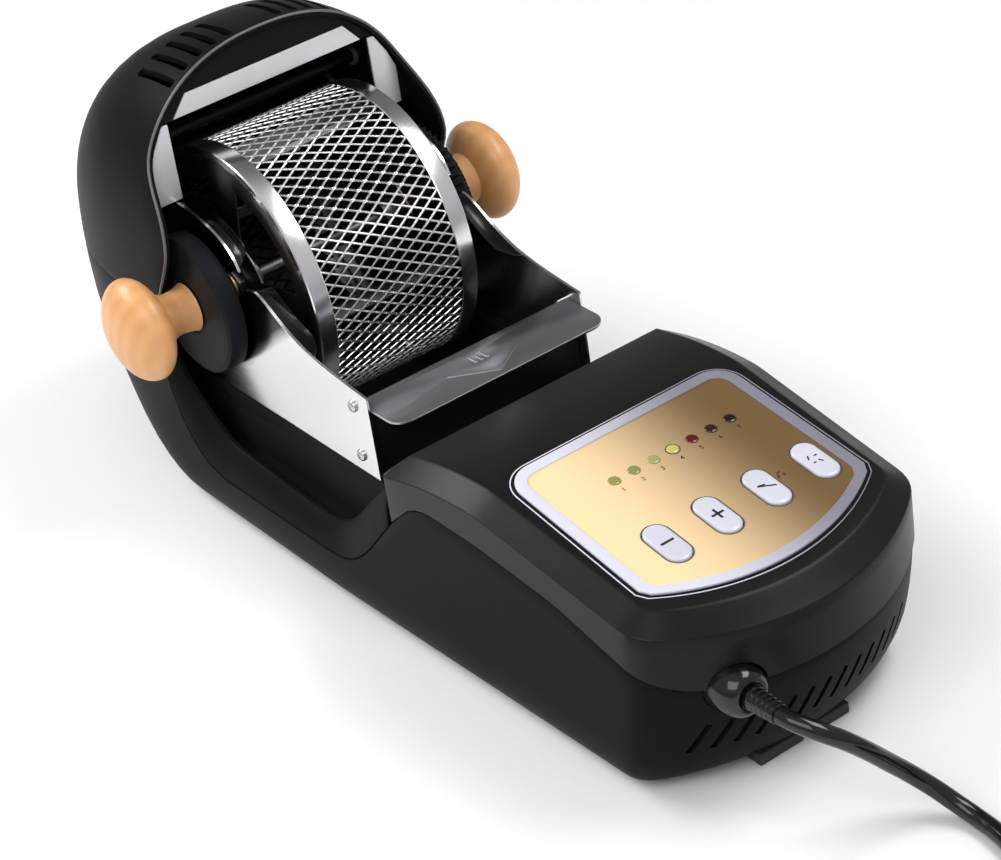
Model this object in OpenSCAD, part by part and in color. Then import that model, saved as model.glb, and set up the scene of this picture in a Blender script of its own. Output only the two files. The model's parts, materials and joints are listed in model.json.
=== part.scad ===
// Home coffee bean roaster: a mesh drum on a lift-out shaft, turned by a geared
// motor in front of a heated hood, with a control deck in front. Millimetres.
// The drum axis is modelled at zero and the whole is then set on its feet.

/* [Body shells] */
// Width of the body across its side walls
body_width = 176; // [172:1:190]
// Width of the body at its two front corners
front_width = 164; // [156:1:170]
// Reach of the body in front of the drum axis
front_reach = 386; // [380:1:400]
// Reach of the hood behind the drum axis
rear_reach = 160; // [150:1:166]
// Radius of the bowed front face, seen from above
front_radius = 122; // [110:1:150]
// Height of the drum axis above the underside of the body
axis_height = 120; // [116:1:124]
// Rise of the hood's crown above the drum axis
crown_rise = 122; // [120:1:134]
// Thickness of the moulded walls
shell_wall = 3; // [2.5:0.25:3.5]
// Drop of the split between hood and base below the drum axis
parting_drop = 5; // [2:1:10]
// Height of the rubber feet
foot_height = 6; // [5:1:12]

/* [Control deck] */
// Slope of the deck towards the user, in degrees
deck_tilt = 9; // [7:0.5:11]
// Distance from the drum axis to the highest line of the deck
deck_ridge = 245; // [243:1:250]
// Drop of the deck's highest line below the drum axis
deck_drop = 4.5; // [3:0.5:8]
// Distance from the drum axis to the back edge of the cover
cover_back = 173; // [172:1:180]
// Width of the fascia at its back edge
panel_back_width = 130; // [120:1:132]
// Width of the fascia at its front corners
panel_front_width = 132; // [124:1:134]
// Length of the fascia along its middle line
panel_length = 121; // [116:1:124]
// Width of the silver frame round the fascia
bezel_width = 6; // [3:0.5:7]
// Pitch of the four buttons
button_pitch = 29; // [27:0.5:31]
// Length of a button
button_length = 27; // [20:1:30]
// Width of a button
button_width = 13; // [10:0.5:16]
// Travel of a button
button_travel = 1; // [0.6:0.1:1.4]
// Number of roast level lamps
lamp_count = 7; // [5:1:7]
// Pitch of the roast level lamps
lamp_pitch = 11.4; // [9:0.2:12]
// Diameter of a roast level lamp
lamp_diameter = 6.4; // [4:0.2:8]

/* [Drum] */
// Outer radius of the drum over its rim bands
drum_radius = 75; // [72:0.5:76]
// Length of the drum over its rim bands
drum_length = 97; // [90:1:98]
// Width of a rim band
rim_band = 10; // [8:0.5:14]
// Thickness of the drum's sheet
drum_sheet = 1.2; // [1:0.1:1.6]
// Diamonds along the drum's mesh
mesh_rows = 6; // [5:1:8]
// Diamonds round the drum's mesh
mesh_columns = 26; // [22:1:30]
// Radius of the shaft
shaft_radius = 5; // [4:0.25:5.5]
// Radius of the bearing bushes over the shaft
bush_radius = 7.5; // [7:0.25:8.5]
// Running clearance between shaft and bush
running_gap = 0.05; // [0.03:0.01:0.08]
// Radius of the plain disc behind the left knob
disc_radius = 37.5; // [34:0.5:39]
// Thickness of the disc
disc_thickness = 11; // [9:0.5:12]
// Distance the basket lifts along its slots
lift_travel = 160; // [120:5:170]
// Slope of the slots above level, in degrees
slot_angle = 35; // [33:1:37]

/* [Knobs] */
// Radius of a knob's cap
knob_radius = 27.5; // [24:0.5:30]
// Thickness of a knob's cap
knob_cap = 27; // [22:1:29]
// Length of a knob's neck
knob_neck = 17; // [15:1:20]
// Radius of a knob's neck
neck_radius = 12; // [10:0.5:14]

/* [Roasting chamber] */
// Clearance from the drum to the chamber's side plates
side_gap = 16; // [15:0.5:18]
// Thickness of the steel side plates
plate_thickness = 1.2; // [1:0.1:1.4]
// Radius of the chamber's curved wall
chamber_radius = 92; // [90:0.5:94]
// Distance from the drum axis to the chamber's front plate
front_plate_at = 132; // [130:1:136]
// Length of the front plate's folded lip
lip_length = 34; // [30:1:36]
// Radius of a heater rod
heater_radius = 3.3; // [2.5:0.1:3.6]

/* [Gear train] */
// Module of the spur gears
gear_module = 1.5; // [1.4:0.05:1.5]
// Teeth on the drum gear
drum_teeth = 52; // [52:4:52]
// Teeth on the idler gear
idler_teeth = 30; // [30:2:30]
// Teeth on the motor pinion
pinion_teeth = 15; // [15:1:15]
// Face width of the gears
gear_width = 7; // [5:0.5:8]
// Radius of the gear motor's can
motor_radius = 11.8; // [10:0.1:12]

/* [Cord] */
// Diameter of the power cord
cord_diameter = 8.6; // [7.8:0.1:8.8]
// Loops in each of the coil's two layers
coil_turns = 2; // [1:1:3]
// Largest radius of the coil's middle line
coil_radius = 50; // [49:1:52]
// Distance between neighbouring loops
coil_pitch = 9.6; // [9.4:0.1:10]

/* [Hidden] */

// Sides that a drawn circle gets
fine = 64;
part_gap = 0.3;

// The drum axis above the floor, and ahead of the middle of the footprint
axis_z = axis_height + foot_height;
axis_y = (front_reach - rear_reach) / 2;

// The hood is a rounded dome about this level, with its mouth on this plane
dome_z = 16;
mouth_y = 16;
dome_power = 2.4;
// Seen from the side, the back bulges furthest below the drum axis and then runs in again
bulge_z = -20;
bulge_depth = 110;
plan_power = 2.7;
corner_y = -front_reach + front_radius - sqrt(pow(front_radius, 2) - pow(front_width / 2, 2));
edge_rise = 24;
edge_tuck = 7;
// The front runs in under the deck, by this much at its foot
rake = 20;
rake_top = -34;
rake_from = -205;

function dome_share(z, tuck = 0) =
    z > dome_z ? (z - dome_z) / (crown_rise - tuck - dome_z) : 0;
function bulge_share(z, tuck = 0) =
    z > bulge_z ? (z - bulge_z) / (crown_rise - tuck - bulge_z) : (bulge_z - z) / bulge_depth;
function dome_half(z, tuck = 0) =
    let (s = z > dome_z ? dome_share(z, tuck) : 0)
    (body_width / 2 - tuck) * pow(1 - pow(s, dome_power), 1 / dome_power);
function dome_back(z, tuck = 0) = (rear_reach - mouth_y - tuck) * sqrt(1 - pow(bulge_share(z, tuck), 2));

// Side wall of the base, narrowing a little towards the front corners
taper_y = -110;
function wall_x(y) =
    y > taper_y ? body_width / 2
    : body_width / 2 - (body_width - front_width) / 2 * (taper_y - y) / (taper_y - corner_y);

// Lower edge of the side rails and front cover, as height over distance along the body
seam_line = [
    [-front_reach, -63], [corner_y - 14, -62], [corner_y, -52], [-300, -37], [-deck_ridge, -30.5], [-204, -29],
    [-189, -36], [-170, -55], [-152, -75], [-140, -86], [-127, -92], [-18, -93], [-1, -89], [14, -74],
    [22, -56], [25, -45], [28, -parting_drop], [rear_reach, -parting_drop]
];
function seam_z(y) = lookup(y, seam_line);

// Places along the body that every shell has a corner at, so that their seams match
function seam_stops(from, to) = [
    for (k = [len(seam_line) - 1:-1:1])
        let (a = seam_line[k][0], b = seam_line[k - 1][0], n = ceil((a - b) / 16))
        for (j = [0:n - 1]) let (y = a + (b - a) * j / n) if (y < from && y > to) y
];

// Upper edge of the side rails
rail_line = [
    [-190, -21], [-179, -26], [-164, -38], [-150, -51], [-138, -63], [-126, -73], [-115, -78], [-100, -80],
    [-20, -76], [-8, -72], [6, -60], [17, -42], [24, -20]
];
function rail_z(y) = lookup(y, rail_line);
function rail_tuck(y) = lookup(y, [[-190, 3], [-160, 4.5], [-120, 9], [0, 9], [24, 4]]);
rail_back = 19.5;
rail_front = -cover_back + part_gap;

// Top of the control deck along the body
function deck_z(y) =
    y < -deck_ridge ? -deck_drop - (-deck_ridge - y) * tan(deck_tilt)
    : -deck_drop - (y + deck_ridge) * 0.13;
deck_edge = 7;

// Roasting chamber
plate_in = drum_length / 2 + side_gap;
plate_out = plate_in + plate_thickness;
plate_bottom = -52;
tray_floor = -drum_radius - 3.4;
cradle_floor = tray_floor - 2.4;
trough_floor = -86;
slot_half = bush_radius + part_gap;
mouth_half = 61;
mouth_top = chamber_radius * sin(80) + 1;
side_flange_foot = 49.4;
lip_z = -13;
heater_ring = drum_radius + 8.5;
heater_angles = [62, 36, 10, -16];

// Things on the shaft, outwards from the drum
disc_in = plate_out + 1.8;
disc_out = disc_in + disc_thickness;
knob_tip = disc_out + knob_neck + knob_cap;

// Gear train: the idler hangs under the drum gear and the pinion under the idler
idler_lean = 5;
pinion_lean = 16;
drum_pitch_r = gear_module * drum_teeth / 2;
idler_pitch_r = gear_module * idler_teeth / 2;
pinion_pitch_r = gear_module * pinion_teeth / 2;
idler_span = drum_pitch_r + idler_pitch_r;
pinion_span = idler_pitch_r + pinion_pitch_r;
idler_yz = [idler_span * sin(idler_lean), -idler_span * cos(idler_lean)];
pinion_yz = idler_yz + [pinion_span * sin(pinion_lean), -pinion_span * cos(pinion_lean)];
gear_in = disc_in + 0.4;
stub_radius = 3;
motor_shaft_r = 2;
motor_length = 48;

// Cord: where it leaves the gland, and the level of its middle line on the floor
gland_x = -46;
gland_z = -63;
boss_radius = 13;
gland_y = -front_reach + front_radius - sqrt(pow(front_radius, 2) - pow(gland_x, 2));
relief_tip = -404;
cord_r = cord_diameter / 2;
cord_low = -axis_height - foot_height + cord_r;
coil_low = cord_low + 1.2;
coil_centre = [46, -568];

// Fasteners
screw_r = 1.5;
screw_head_r = 3.2;

module on_feet() {
    translate([0, axis_y, axis_z]) children();
}

module on_deck() {
    on_feet() translate([0, -deck_ridge, -deck_drop + 0.06]) rotate([deck_tilt, 0, 0]) children();
}

// An extrusion along X of an outline drawn with depth across and height up
module across(x0, x1) {
    translate([x0, 0, 0]) rotate([90, 0, 90]) linear_extrude(height = x1 - x0) children();
}

module bar_x(x0, x1, r, yz = [0, 0]) {
    translate([x0, yz[0], yz[1]]) rotate([0, 90, 0]) cylinder(h = x1 - x0, r = r, $fn = fine);
}

module both_sides() {
    children();
    mirror([1, 0, 0]) children();
}

// A closed skin through rings that are given as their right-hand halves, back to front
function full_ring(half) =
    concat(half, [for (k = [len(half) - 2:-1:1]) [-half[k][0], half[k][1], half[k][2]]]);
function cap_faces(m, first) =
    let (n = 2 * m - 2)
    concat(
        [[first, first + 1, first + n - 1]],
        [for (k = [1:m - 3]) [first + k, first + k + 1, first + n - k - 1, first + n - k]],
        [[first + m - 2, first + m - 1, first + m]]
    );
function turned(faces) = [for (f = faces) [for (k = [len(f) - 1:-1:0]) f[k]]];
module skin(halves) {
    m = len(halves[0]);
    n = 2 * m - 2;
    rows = len(halves);
    points = [for (half = halves) each full_ring(half)];
    sides = [
        for (j = [0:rows - 2]) for (k = [0:n - 1])
            let (a = j * n + k, b = j * n + (k + 1) % n)
            each [[b, b + n, a + n], [b, a + n, a]]
    ];
    polyhedron(points = points, faces = concat(turned(cap_faces(m, 0)), sides, cap_faces(m, (rows - 1) * n)));
}

// Half ring of the base at a share of the way up from its underside to the seam
back_angles = [0, 8, 16, 24, 32, 40, 48, 56, 63, 70, 76, 81, 84.5, 86.5, 87.6, 88.6];
side_stops = concat([rail_back], seam_stops(rail_back, corner_y + 1));
arc_shares = [1, 0.8, 0.6, 0.4, 0.2, 0];
function edge_inset(h) = h < edge_rise ? edge_tuck * (1 - sqrt(1 - pow((edge_rise - h) / edge_rise, 2))) : 0;
function raked(p) =
    let (down = max(0, (rake_top - p[2]) / (axis_height + rake_top)), fore = max(0, rake_from - p[1]))
    [p[0], p[1] + rake * pow(down, 2) * fore / (front_reach + rake_from), p[2]];
function base_point(side, y, share, tuck, low, turn) = raked(upright_point(side, y, share, tuck, low, turn));
function upright_point(side, y, share, tuck, low, turn) =
    let (
        top = seam_z(y),
        z = low + (top - low) * share,
        inset = edge_inset(z - low + tuck) + tuck,
        w = body_width / 2 - inset,
        b = dome_back(z) - inset
    )
    turn >= 0 ? [w * pow(sin(turn), 2 / plan_power), mouth_y + b * pow(cos(turn), 2 / plan_power), z]
    : side >= 0 ? [(front_width / 2 - inset) * side,
        -front_reach + inset + front_radius
            - sqrt(pow(front_radius, 2) - pow((front_width / 2 - inset) * side, 2)), z]
    : [wall_x(y) - inset, y, z];
function base_half(share, tuck, low) = concat(
    [for (t = back_angles)
        base_point(-1, mouth_y + dome_back(-parting_drop) * pow(cos(t), 2 / plan_power), share, tuck, low, t)],
    [for (y = side_stops) base_point(-1, y, share, tuck, low, -1)],
    [for (s = arc_shares) base_point(
        s, -front_reach + front_radius - sqrt(pow(front_radius, 2) - pow(front_width / 2 * s, 2)),
        share, tuck, low, -1)]
);

// Lower tub that carries everything
module base_shell() {
    color("#242424") on_feet() difference() {
        skin(concat(
            [for (s = [0, 0.03, 0.09, 0.2, 0.4, 0.7, 1]) base_half(s, 0, -axis_height)],
            [for (s = [1, 0.6, 0.25, 0.08, 0]) base_half(s, shell_wall, -axis_height + shell_wall)]
        ));
        front_slots();
        translate([gland_x, gland_y + 14, gland_z]) rotate([90, 0, 0]) cylinder(h = 30, r = boss_radius + 0.2, $fn = fine);
        for (p = foot_spots) translate([p[0], p[1], -axis_height - 1])
            cylinder(h = shell_wall + 2, r = screw_r + 0.2, $fn = 24);
    }
}

foot_spots = [for (p = [[64, 8], [68, -156.5], [54, -329]]) each [p, [-p[0], p[1]]]];
slot_pitch = 9.9;
slot_lean = 24;
module front_slots() {
    for (k = [-6:6]) translate([slot_pitch * k, -front_reach + 22, -91]) rotate([0, slot_lean, 0])
        cube([3, 80, 17], center = true);
}

// Dome over the back half of the drum
function hood_half(z, tuck) = concat(
    [for (k = [0:14]) let (t = 6 * k) [
        dome_half(z, tuck) * pow(sin(t), 2 / plan_power),
        mouth_y + dome_back(z, tuck) * pow(cos(t), 2 / plan_power), z
    ]],
    [[dome_half(z, tuck), mouth_y - (tuck > 0 ? 4 : 0), z], [0, mouth_y - (tuck > 0 ? 4 : 0) - back_bow, z]]
);
function dome_levels(tuck) = [for (a = [10:12.3:83.8]) dome_z + (crown_rise - tuck - dome_z) * sin(a)];
module rear_hood() {
    color("#1f1f1f") on_feet() difference() {
        skin([for (z = concat([part_gap - parting_drop, dome_z - 4], dome_levels(0))) hood_half(z, 0)]);
        skin([for (z = concat([-parting_drop - 4, dome_z - 4], dome_levels(shell_wall)))
            hood_half(z, shell_wall)]);
        for (side = [-1, 1]) for (k = [0:4])
            translate([side * (15 + 9.2 * k), mouth_y + 20, crown_rise - 22]) cube([4.4, 34, 60], center = true);
        for (side = [-1, 1]) for (k = [0:1])
            translate([side * body_width / 2, mouth_y + 10 + 12 * k, 30]) cube([20, 3.4, 14], center = true);
    }
}

// Upper front shell with the control deck
cover_corner = 5;
back_bow = 0.5;
function cover_half(tuck) = concat(
    [[0, -cover_back - tuck + back_bow, 0]],
    [for (a = [90:-22.5:0]) [
        wall_x(-cover_back) - cover_corner + (cover_corner - tuck) * cos(a),
        -cover_back - cover_corner + (cover_corner - tuck) * sin(a), 0
    ]],
    [for (y = seam_stops(-cover_back - cover_corner - 1, corner_y + 1)) [wall_x(y) - tuck, y, 0]],
    [for (s = arc_shares) let (x = (front_width / 2 - tuck) * s)
        [x, -front_reach + tuck + front_radius - sqrt(pow(front_radius, 2) - x * x), 0]]
);
function lifted(half, drop) = [for (p = half) [p[0], p[1], deck_z(p[1]) - drop]];
function seamed(half) = [for (p = half) [p[0], p[1], seam_z(p[1]) + part_gap]];
module front_cover() {
    color("#262626") on_feet() difference() {
        skin([
            lifted(cover_half(12), shell_wall),
            lifted(cover_half(6 + shell_wall), shell_wall + 1),
            lifted(cover_half(shell_wall), deck_edge + 1),
            seamed(cover_half(shell_wall)),
            seamed(cover_half(0)),
            lifted(cover_half(0), deck_edge),
            lifted(cover_half(2), 3),
            lifted(cover_half(6), 0.7),
            lifted(cover_half(11), 0)
        ]);
        translate([gland_x, gland_y + 14, gland_z]) rotate([90, 0, 0]) cylinder(h = 30, r = boss_radius + 0.2, $fn = fine);
        translate([0, -deck_ridge, -deck_drop]) rotate([deck_tilt, 0, 0]) {
            for (x = button_xs) translate([x, button_row, -15]) pill(button_length + 1, button_width + 1, 30);
            for (x = lamp_xs) translate([x, lamp_row, -15]) cylinder(h = 30, d = lamp_diameter + 0.6, $fn = 32);
        }
    }
}

// Leaning rails beside the drum, with the rise up to the front cover
module side_rails() {
    along = concat([rail_back], seam_stops(rail_back, rail_front), [rail_front]);
    stops = [for (k = [len(along) - 1:-1:0]) along[k]];
    n = len(stops);
    color("#222222") on_feet() both_sides() polyhedron(
        points = [for (y = stops) each [
            [wall_x(y), y, seam_z(y) + part_gap], [wall_x(y) - rail_tuck(y), y, rail_z(y)],
            [wall_x(y) - rail_tuck(y) - shell_wall, y, rail_z(y)], [wall_x(y) - shell_wall, y, seam_z(y) + part_gap]
        ]],
        faces = concat(
            [[3, 2, 1, 0]],
            [for (j = [0:n - 2]) for (k = [0:3])
                let (a = 4 * j + k, b = 4 * j + (k + 1) % 4)
                each [[a, b, b + 4], [a, b + 4, a + 4]]],
            [[4 * n - 4, 4 * n - 3, 4 * n - 2, 4 * n - 1]]
        )
    );
}

// Walls that close the two bays behind the discs
module bay_partitions() {
    color("#1c1c1c") on_feet() both_sides()
        translate([plate_out + 0.8, 45, trough_floor + 2.6])
            cube([body_width / 2 - shell_wall - 5.8 - plate_out, 2.4, side_flange_foot + 80]);
}

// Dark face that closes the hood round the chamber's mouth
module mouth_face() {
    y0 = mouth_y + 1;
    color("#181818") on_feet() translate([0, y0 + 2.4, 0]) rotate([90, 0, 0]) linear_extrude(height = 2.4)
        difference() {
            polygon([
                for (a = [16:4:164]) let (c = cos(a), s = sin(a))
                    [(body_width / 2 - shell_wall - 0.6) * sign(c) * pow(abs(c), 0.92),
                     dome_z + (crown_rise - shell_wall - 1.2 - dome_z) * pow(s, 0.84)]
            ]);
            translate([-mouth_half, -50]) square([2 * mouth_half, mouth_top + 50]);
            translate([-200, -200]) square([400, 200 + side_flange_foot]);
        }
}

// Bright flanges folded out round the chamber's mouth
module mouth_flanges() {
    t = 1.2;
    y0 = mouth_y + 1 - t;
    color("#d2d2d2") on_feet() {
        translate([0, y0 + t, 0]) rotate([90, 0, 0]) linear_extrude(height = t)
            polygon([[-57, mouth_top + 0.2], [57, mouth_top + 0.2], [48, mouth_top + 11], [-48, mouth_top + 11]]);
        both_sides() translate([0, y0 + t, 0]) rotate([90, 0, 0]) linear_extrude(height = t)
            polygon([
                [mouth_half + 0.2, side_flange_foot], [75.5, side_flange_foot], [75.5, 70],
                [71.5, 79.5], [65, mouth_top - 1], [mouth_half + 0.2, mouth_top - 1]
            ]);
    }
}

function arc_points(r, a0, a1, step = 5) =
    let (n = max(1, ceil(abs(a1 - a0) / step))) [for (k = [0:n]) let (a = a0 + (a1 - a0) * k / n) r * [cos(a), sin(a)]];

// Curved steel wall round the back of the drum
wall_start = 77.6;
wall_end = -46;
module chamber_wall() {
    color("#8f9192") on_feet() across(-plate_in + part_gap, plate_in - part_gap) polygon(concat(
        arc_points(chamber_radius + 0.9, wall_start, wall_end, 7), arc_points(chamber_radius, wall_end, wall_start, 7)
    ));
}

// One side plate, cut by the slot that the shaft lies in, with its top edge folded in
plate_top = [
    [20, chamber_radius * sin(70)], [20, 49], [1, 49], [-13, 46.3], [-27, 43.3], [-40, 37.5]
];
plate_ramp = [[-34, 14], [-43.7, 21], [-58.6, 16.3], [-71, 9.6], [-85, 3.8], [-98.5, 1.7]];
module plate_outline(shrink = 0) {
    difference() {
        polygon(concat(
            arc_points(chamber_radius - 0.4, -34, 70, 6), plate_top,
            [[-36, 26]], plate_ramp, [[-front_plate_at - 6, -4.3], [-front_plate_at - 6, plate_bottom],
                [30, plate_bottom]]
        ));
        circle(r = slot_half, $fn = fine);
        rotate(180 - slot_angle) translate([0, -slot_half]) square([60, 2 * slot_half]);
        for (a = heater_angles) rotate(a) translate([heater_ring, 0]) circle(r = heater_radius + 2.3, $fn = 32);
    }
}
module side_plate(bright) {
    color(bright) on_feet() difference() {
        union() {
            across(plate_in, plate_out) plate_outline();
            across(plate_in - 9, plate_in + 0.2) fold_line(concat([[15, 49]], [for (k = [2:5]) plate_top[k]]));
            across(plate_in - 9, plate_in + 0.2)
                fold_line([for (k = [1:5]) plate_ramp[k]]);
            across(plate_in - 9, plate_in + 0.2)
                polygon([[-115, -0.9], [-front_plate_at + 1, -3.2], [-front_plate_at + 1, -4.4], [-115, -2.1]]);
        }
        bar_x(plate_in - 20, plate_out + 5, slot_half);
        across(plate_in - 20, plate_out + 5) rotate(180 - slot_angle) translate([0, -slot_half])
            square([80, 2 * slot_half]);
        for (z = screw_zs) bar_x(plate_in - 2, plate_out + 2, screw_r + 0.15, [-front_plate_at + 7, z]);
    }
}
screw_zs = [-14, -42];
module fold_line(points) {
    n = len(points);
    polygon(concat(points, [for (k = [n - 1:-1:0]) points[k] - [0, plate_thickness]]));
}
module right_side_plate() {
    side_plate("#c9cbcc");
}
module left_side_plate() {
    mirror([1, 0, 0]) side_plate("#c9cbcc");
}

// Front plate with its forward lip, a pressed crease and three short ribs
module front_plate() {
    half = plate_in - part_gap;
    color("#a8aaab") on_feet() {
        translate([-half, -front_plate_at, plate_bottom]) cube([2 * half, plate_thickness, lip_z - plate_bottom + 0.1]);
        difference() {
            translate([-half, -front_plate_at - lip_length + 5, lip_z]) cube([2 * half, lip_length, plate_thickness]);
            both_sides() translate([half - 10, -front_plate_at - lip_length + 15, lip_z - 1]) difference() {
                translate([0, -11, 0]) cube([11, 11, 4]);
                cylinder(h = 4, r = 10, $fn = fine);
            }
        }
        both_sides() difference() {
            translate([half - plate_thickness, -front_plate_at + 0.1, plate_bottom + 2])
                cube([plate_thickness, 14, lip_z - plate_bottom - 6]);
            for (z = screw_zs) bar_x(half - 4, half + 2, screw_r + 0.05, [-front_plate_at + 7, z]);
        }
        both_sides() translate([0, -front_plate_at - lip_length + 9, lip_z + plate_thickness - 0.2])
            rotate([0, 0, 33]) cube([26, 1.2, 0.6]);
        for (k = [-1:1]) translate([3.4 * k - 0.7, -front_plate_at - 10, lip_z + plate_thickness - 0.2])
            cube([1.4, 8, 0.6]);
    }
}

module chamber_screws() {
    color("#9a9a9a") on_feet() both_sides() for (z = screw_zs) {
        bar_x(plate_in - 6, plate_out + 0.5, screw_r, [-front_plate_at + 7, z]);
        bar_x(plate_out, plate_out + 2.2, screw_head_r, [-front_plate_at + 7, z]);
    }
}

// Moulded cradle under the chamber, with a trough under each bay
module chamber_cradle() {
    inner = plate_in - 2.2;
    outer = plate_out + 0.5;
    rim = body_width / 2 - 13;
    color("#1e1e1e") on_feet() difference() {
        across(-rim, rim) polygon([
            [-168, -36], [-165.6, -36], [-165.6, trough_floor + 2.4], [52, trough_floor + 2.4],
            [52, trough_floor], [-168, trough_floor]
        ]);
        translate([-inner, -164, trough_floor - 1]) cube([2 * inner, 230, 5]);
        translate([gear_in - 1.2, idler_yz[0] - 26, trough_floor - 1]) cube([gear_width + 2.4, 52, 5]);
    }
    color("#1e1e1e") on_feet() {
        translate([-inner - 0.1, -165.8, cradle_floor]) cube([2 * inner + 0.2, 217.8, 2]);
        both_sides() difference() {
            translate([inner, -165.8, trough_floor + 0.1])
                cube([outer - inner, 217.8, plate_bottom - trough_floor - 0.1]);
            bar_x(inner - 2, outer + 2, stub_radius + 0.02, idler_yz);
        }
    }
}

// Loose steel tray that catches the chaff
module chaff_tray() {
    half = plate_in - 3.2;
    t = 0.8;
    color("#9b9d9e") on_feet() difference() {
        translate([-half, -front_plate_at + 4, tray_floor]) cube([2 * half, front_plate_at + 36, 12]);
        translate([-half + t, -front_plate_at + 4 + t, tray_floor + t])
            cube([2 * half - 2 * t, front_plate_at + 36 - 2 * t, 20]);
    }
}

module heater_rods() {
    color("#6f6a66") on_feet() for (a = heater_angles)
        bar_x(-plate_out - 5, plate_out + 5, heater_radius, heater_ring * [cos(a), sin(a)]);
}

// Ceramic collars that hold the heater rods in the side plates
module heater_insulators() {
    color("#e8e2d4") on_feet() both_sides() for (a = heater_angles) difference() {
        union() {
            bar_x(plate_in - 2, plate_out + 4, heater_radius + 2.2, heater_ring * [cos(a), sin(a)]);
            bar_x(plate_out, plate_out + 2, heater_radius + 3.6, heater_ring * [cos(a), sin(a)]);
        }
        bar_x(plate_in - 5, plate_out + 6, heater_radius + 0.05, heater_ring * [cos(a), sin(a)]);
    }
}

module thermal_cutout() {
    color("#c8c8c8") on_feet() rotate([24, 0, 0]) translate([20, chamber_radius + 0.9, 0]) {
        rotate([-90, 0, 0]) cylinder(h = 1.6, r = 11, $fn = fine);
        translate([0, 1.5, 0]) rotate([-90, 0, 0]) cylinder(h = 8, r = 8, $fn = fine);
    }
}

// Expanded steel mesh: a tube pierced by staggered diamonds, with a plain edge inside each rim
mesh_out = drum_radius - 0.8;
mesh_in = mesh_out - drum_sheet;
mesh_end = drum_length / 2 - 2.2;
mesh_lines = 2 * mesh_rows - 1;
mesh_dx = (drum_length - 2 * rim_band + 3) / (mesh_lines + 1);
mesh_da = 180 / mesh_columns;
bar_dx = 1.1;
bar_da = 1;
function hole_at(i, j) = 8 * (i * mesh_columns + floor(((j + 2 * mesh_columns) % (2 * mesh_columns)) / 2));
function on_tube(x, a, r) = [x, r * cos(a), r * sin(a)];
function hole_points(i, j) =
    let (x = (i - (mesh_lines - 1) / 2) * mesh_dx, a = j * mesh_da)
    [for (r = [mesh_out, mesh_in]) each [
        on_tube(x - mesh_dx + bar_dx, a, r), on_tube(x + mesh_dx - bar_dx, a, r),
        on_tube(x, a + mesh_da - bar_da, r), on_tube(x, a - mesh_da + bar_da, r)
    ]];
// Corner of a hole by name: 0 left, 1 right, 2 next, 3 last
function corner(i, j, c) = hole_at(i, j) + c;
module drum_mesh() {
    around = 2 * mesh_columns;
    last = mesh_lines - 1;
    edge = 8 * mesh_lines * mesh_columns;
    points = concat(
        [for (i = [0:last]) for (c = [0:mesh_columns - 1]) each hole_points(i, 2 * c + i % 2)],
        [for (r = [mesh_out, mesh_in]) for (x = [-mesh_end, mesh_end]) for (j = [0:around - 1])
            on_tube(x, j * mesh_da, r)]
    );
    outer = concat(
        [for (i = [0:last]) for (c = [0:mesh_columns - 1]) let (j = 2 * c + i % 2) each concat(
            i < last ? [
                [corner(i, j, 1), corner(i + 1, j + 1, 3), corner(i + 1, j + 1, 0), corner(i, j, 2)],
                [corner(i, j, 3), corner(i + 1, j - 1, 0), corner(i + 1, j - 1, 2), corner(i, j, 1)]
            ] : [],
            i < last - 1 ? [
                [corner(i, j, 1), corner(i + 1, j - 1, 2), corner(i + 2, j, 0), corner(i + 1, j + 1, 3)]
            ] : []
        )],
        [for (c = [0:mesh_columns - 1]) let (j = 2 * c, e = edge) each [
            [e + j, corner(0, j, 0), corner(0, j, 2), e + (j + 1) % around],
            [e + (j + around - 1) % around, corner(0, j, 3), corner(0, j, 0), e + j],
            [e + (j + 1) % around, corner(0, j, 2), corner(1, j + 1, 0), corner(0, j + 2, 3)]
        ]],
        [for (c = [0:mesh_columns - 1]) let (j = 2 * c + last % 2, e = edge + around) each [
            [e + (j + 1) % around, corner(last, j, 2), corner(last, j, 1), e + j % around],
            [e + j % around, corner(last, j, 1), corner(last, j, 3), e + (j + around - 1) % around],
            [e + (j + 1) % around, corner(last, j + 2, 3), corner(last - 1, j + 1, 1), corner(last, j, 2)]
        ]]
    );
    inner = [for (f = outer) [for (k = [len(f) - 1:-1:0]) f[k] < edge ? f[k] + 4 : f[k] + 2 * around]];
    walls = [for (h = [0:8:edge - 1]) each [
        [h + 2, h, h + 4, h + 6], [h + 1, h + 2, h + 6, h + 5], [h + 3, h + 1, h + 5, h + 7], [h, h + 3, h + 7, h + 4]
    ]];
    ends = [for (j = [0:around - 1]) let (a = edge + j, b = edge + (j + 1) % around) each [
        [b, b + 2 * around, a + 2 * around, a], [a + around, a + 3 * around, b + 3 * around, b + around]
    ]];
    color("#b9bbbc") on_feet() polyhedron(
        points = points, faces = [for (f = concat(outer, inner, walls, ends)) each [[f[0], f[1], f[2]], [f[0], f[2], f[3]]]]
    );
}

// Bright band round one end of the mesh, with a turned-in edge
module rim() {
    x0 = drum_length / 2 - rim_band;
    x1 = drum_length / 2;
    color("#d8d9da") on_feet() translate([0, 0, 0]) rotate([90, 0, 90]) rotate_extrude($fn = 128) polygon([
        [drum_radius - 0.7, x0], [drum_radius, x0 + 0.5], [drum_radius, x1 - 0.8], [drum_radius - 0.8, x1],
        [drum_radius - 5, x1], [drum_radius - 5, x1 - 0.8], [drum_radius - 1.5, x1 - 0.8], [drum_radius - 0.7, x1 - 1.6]
    ]);
}
module right_rim() {
    rim();
}
module left_rim() {
    mirror([1, 0, 0]) rim();
}

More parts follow.
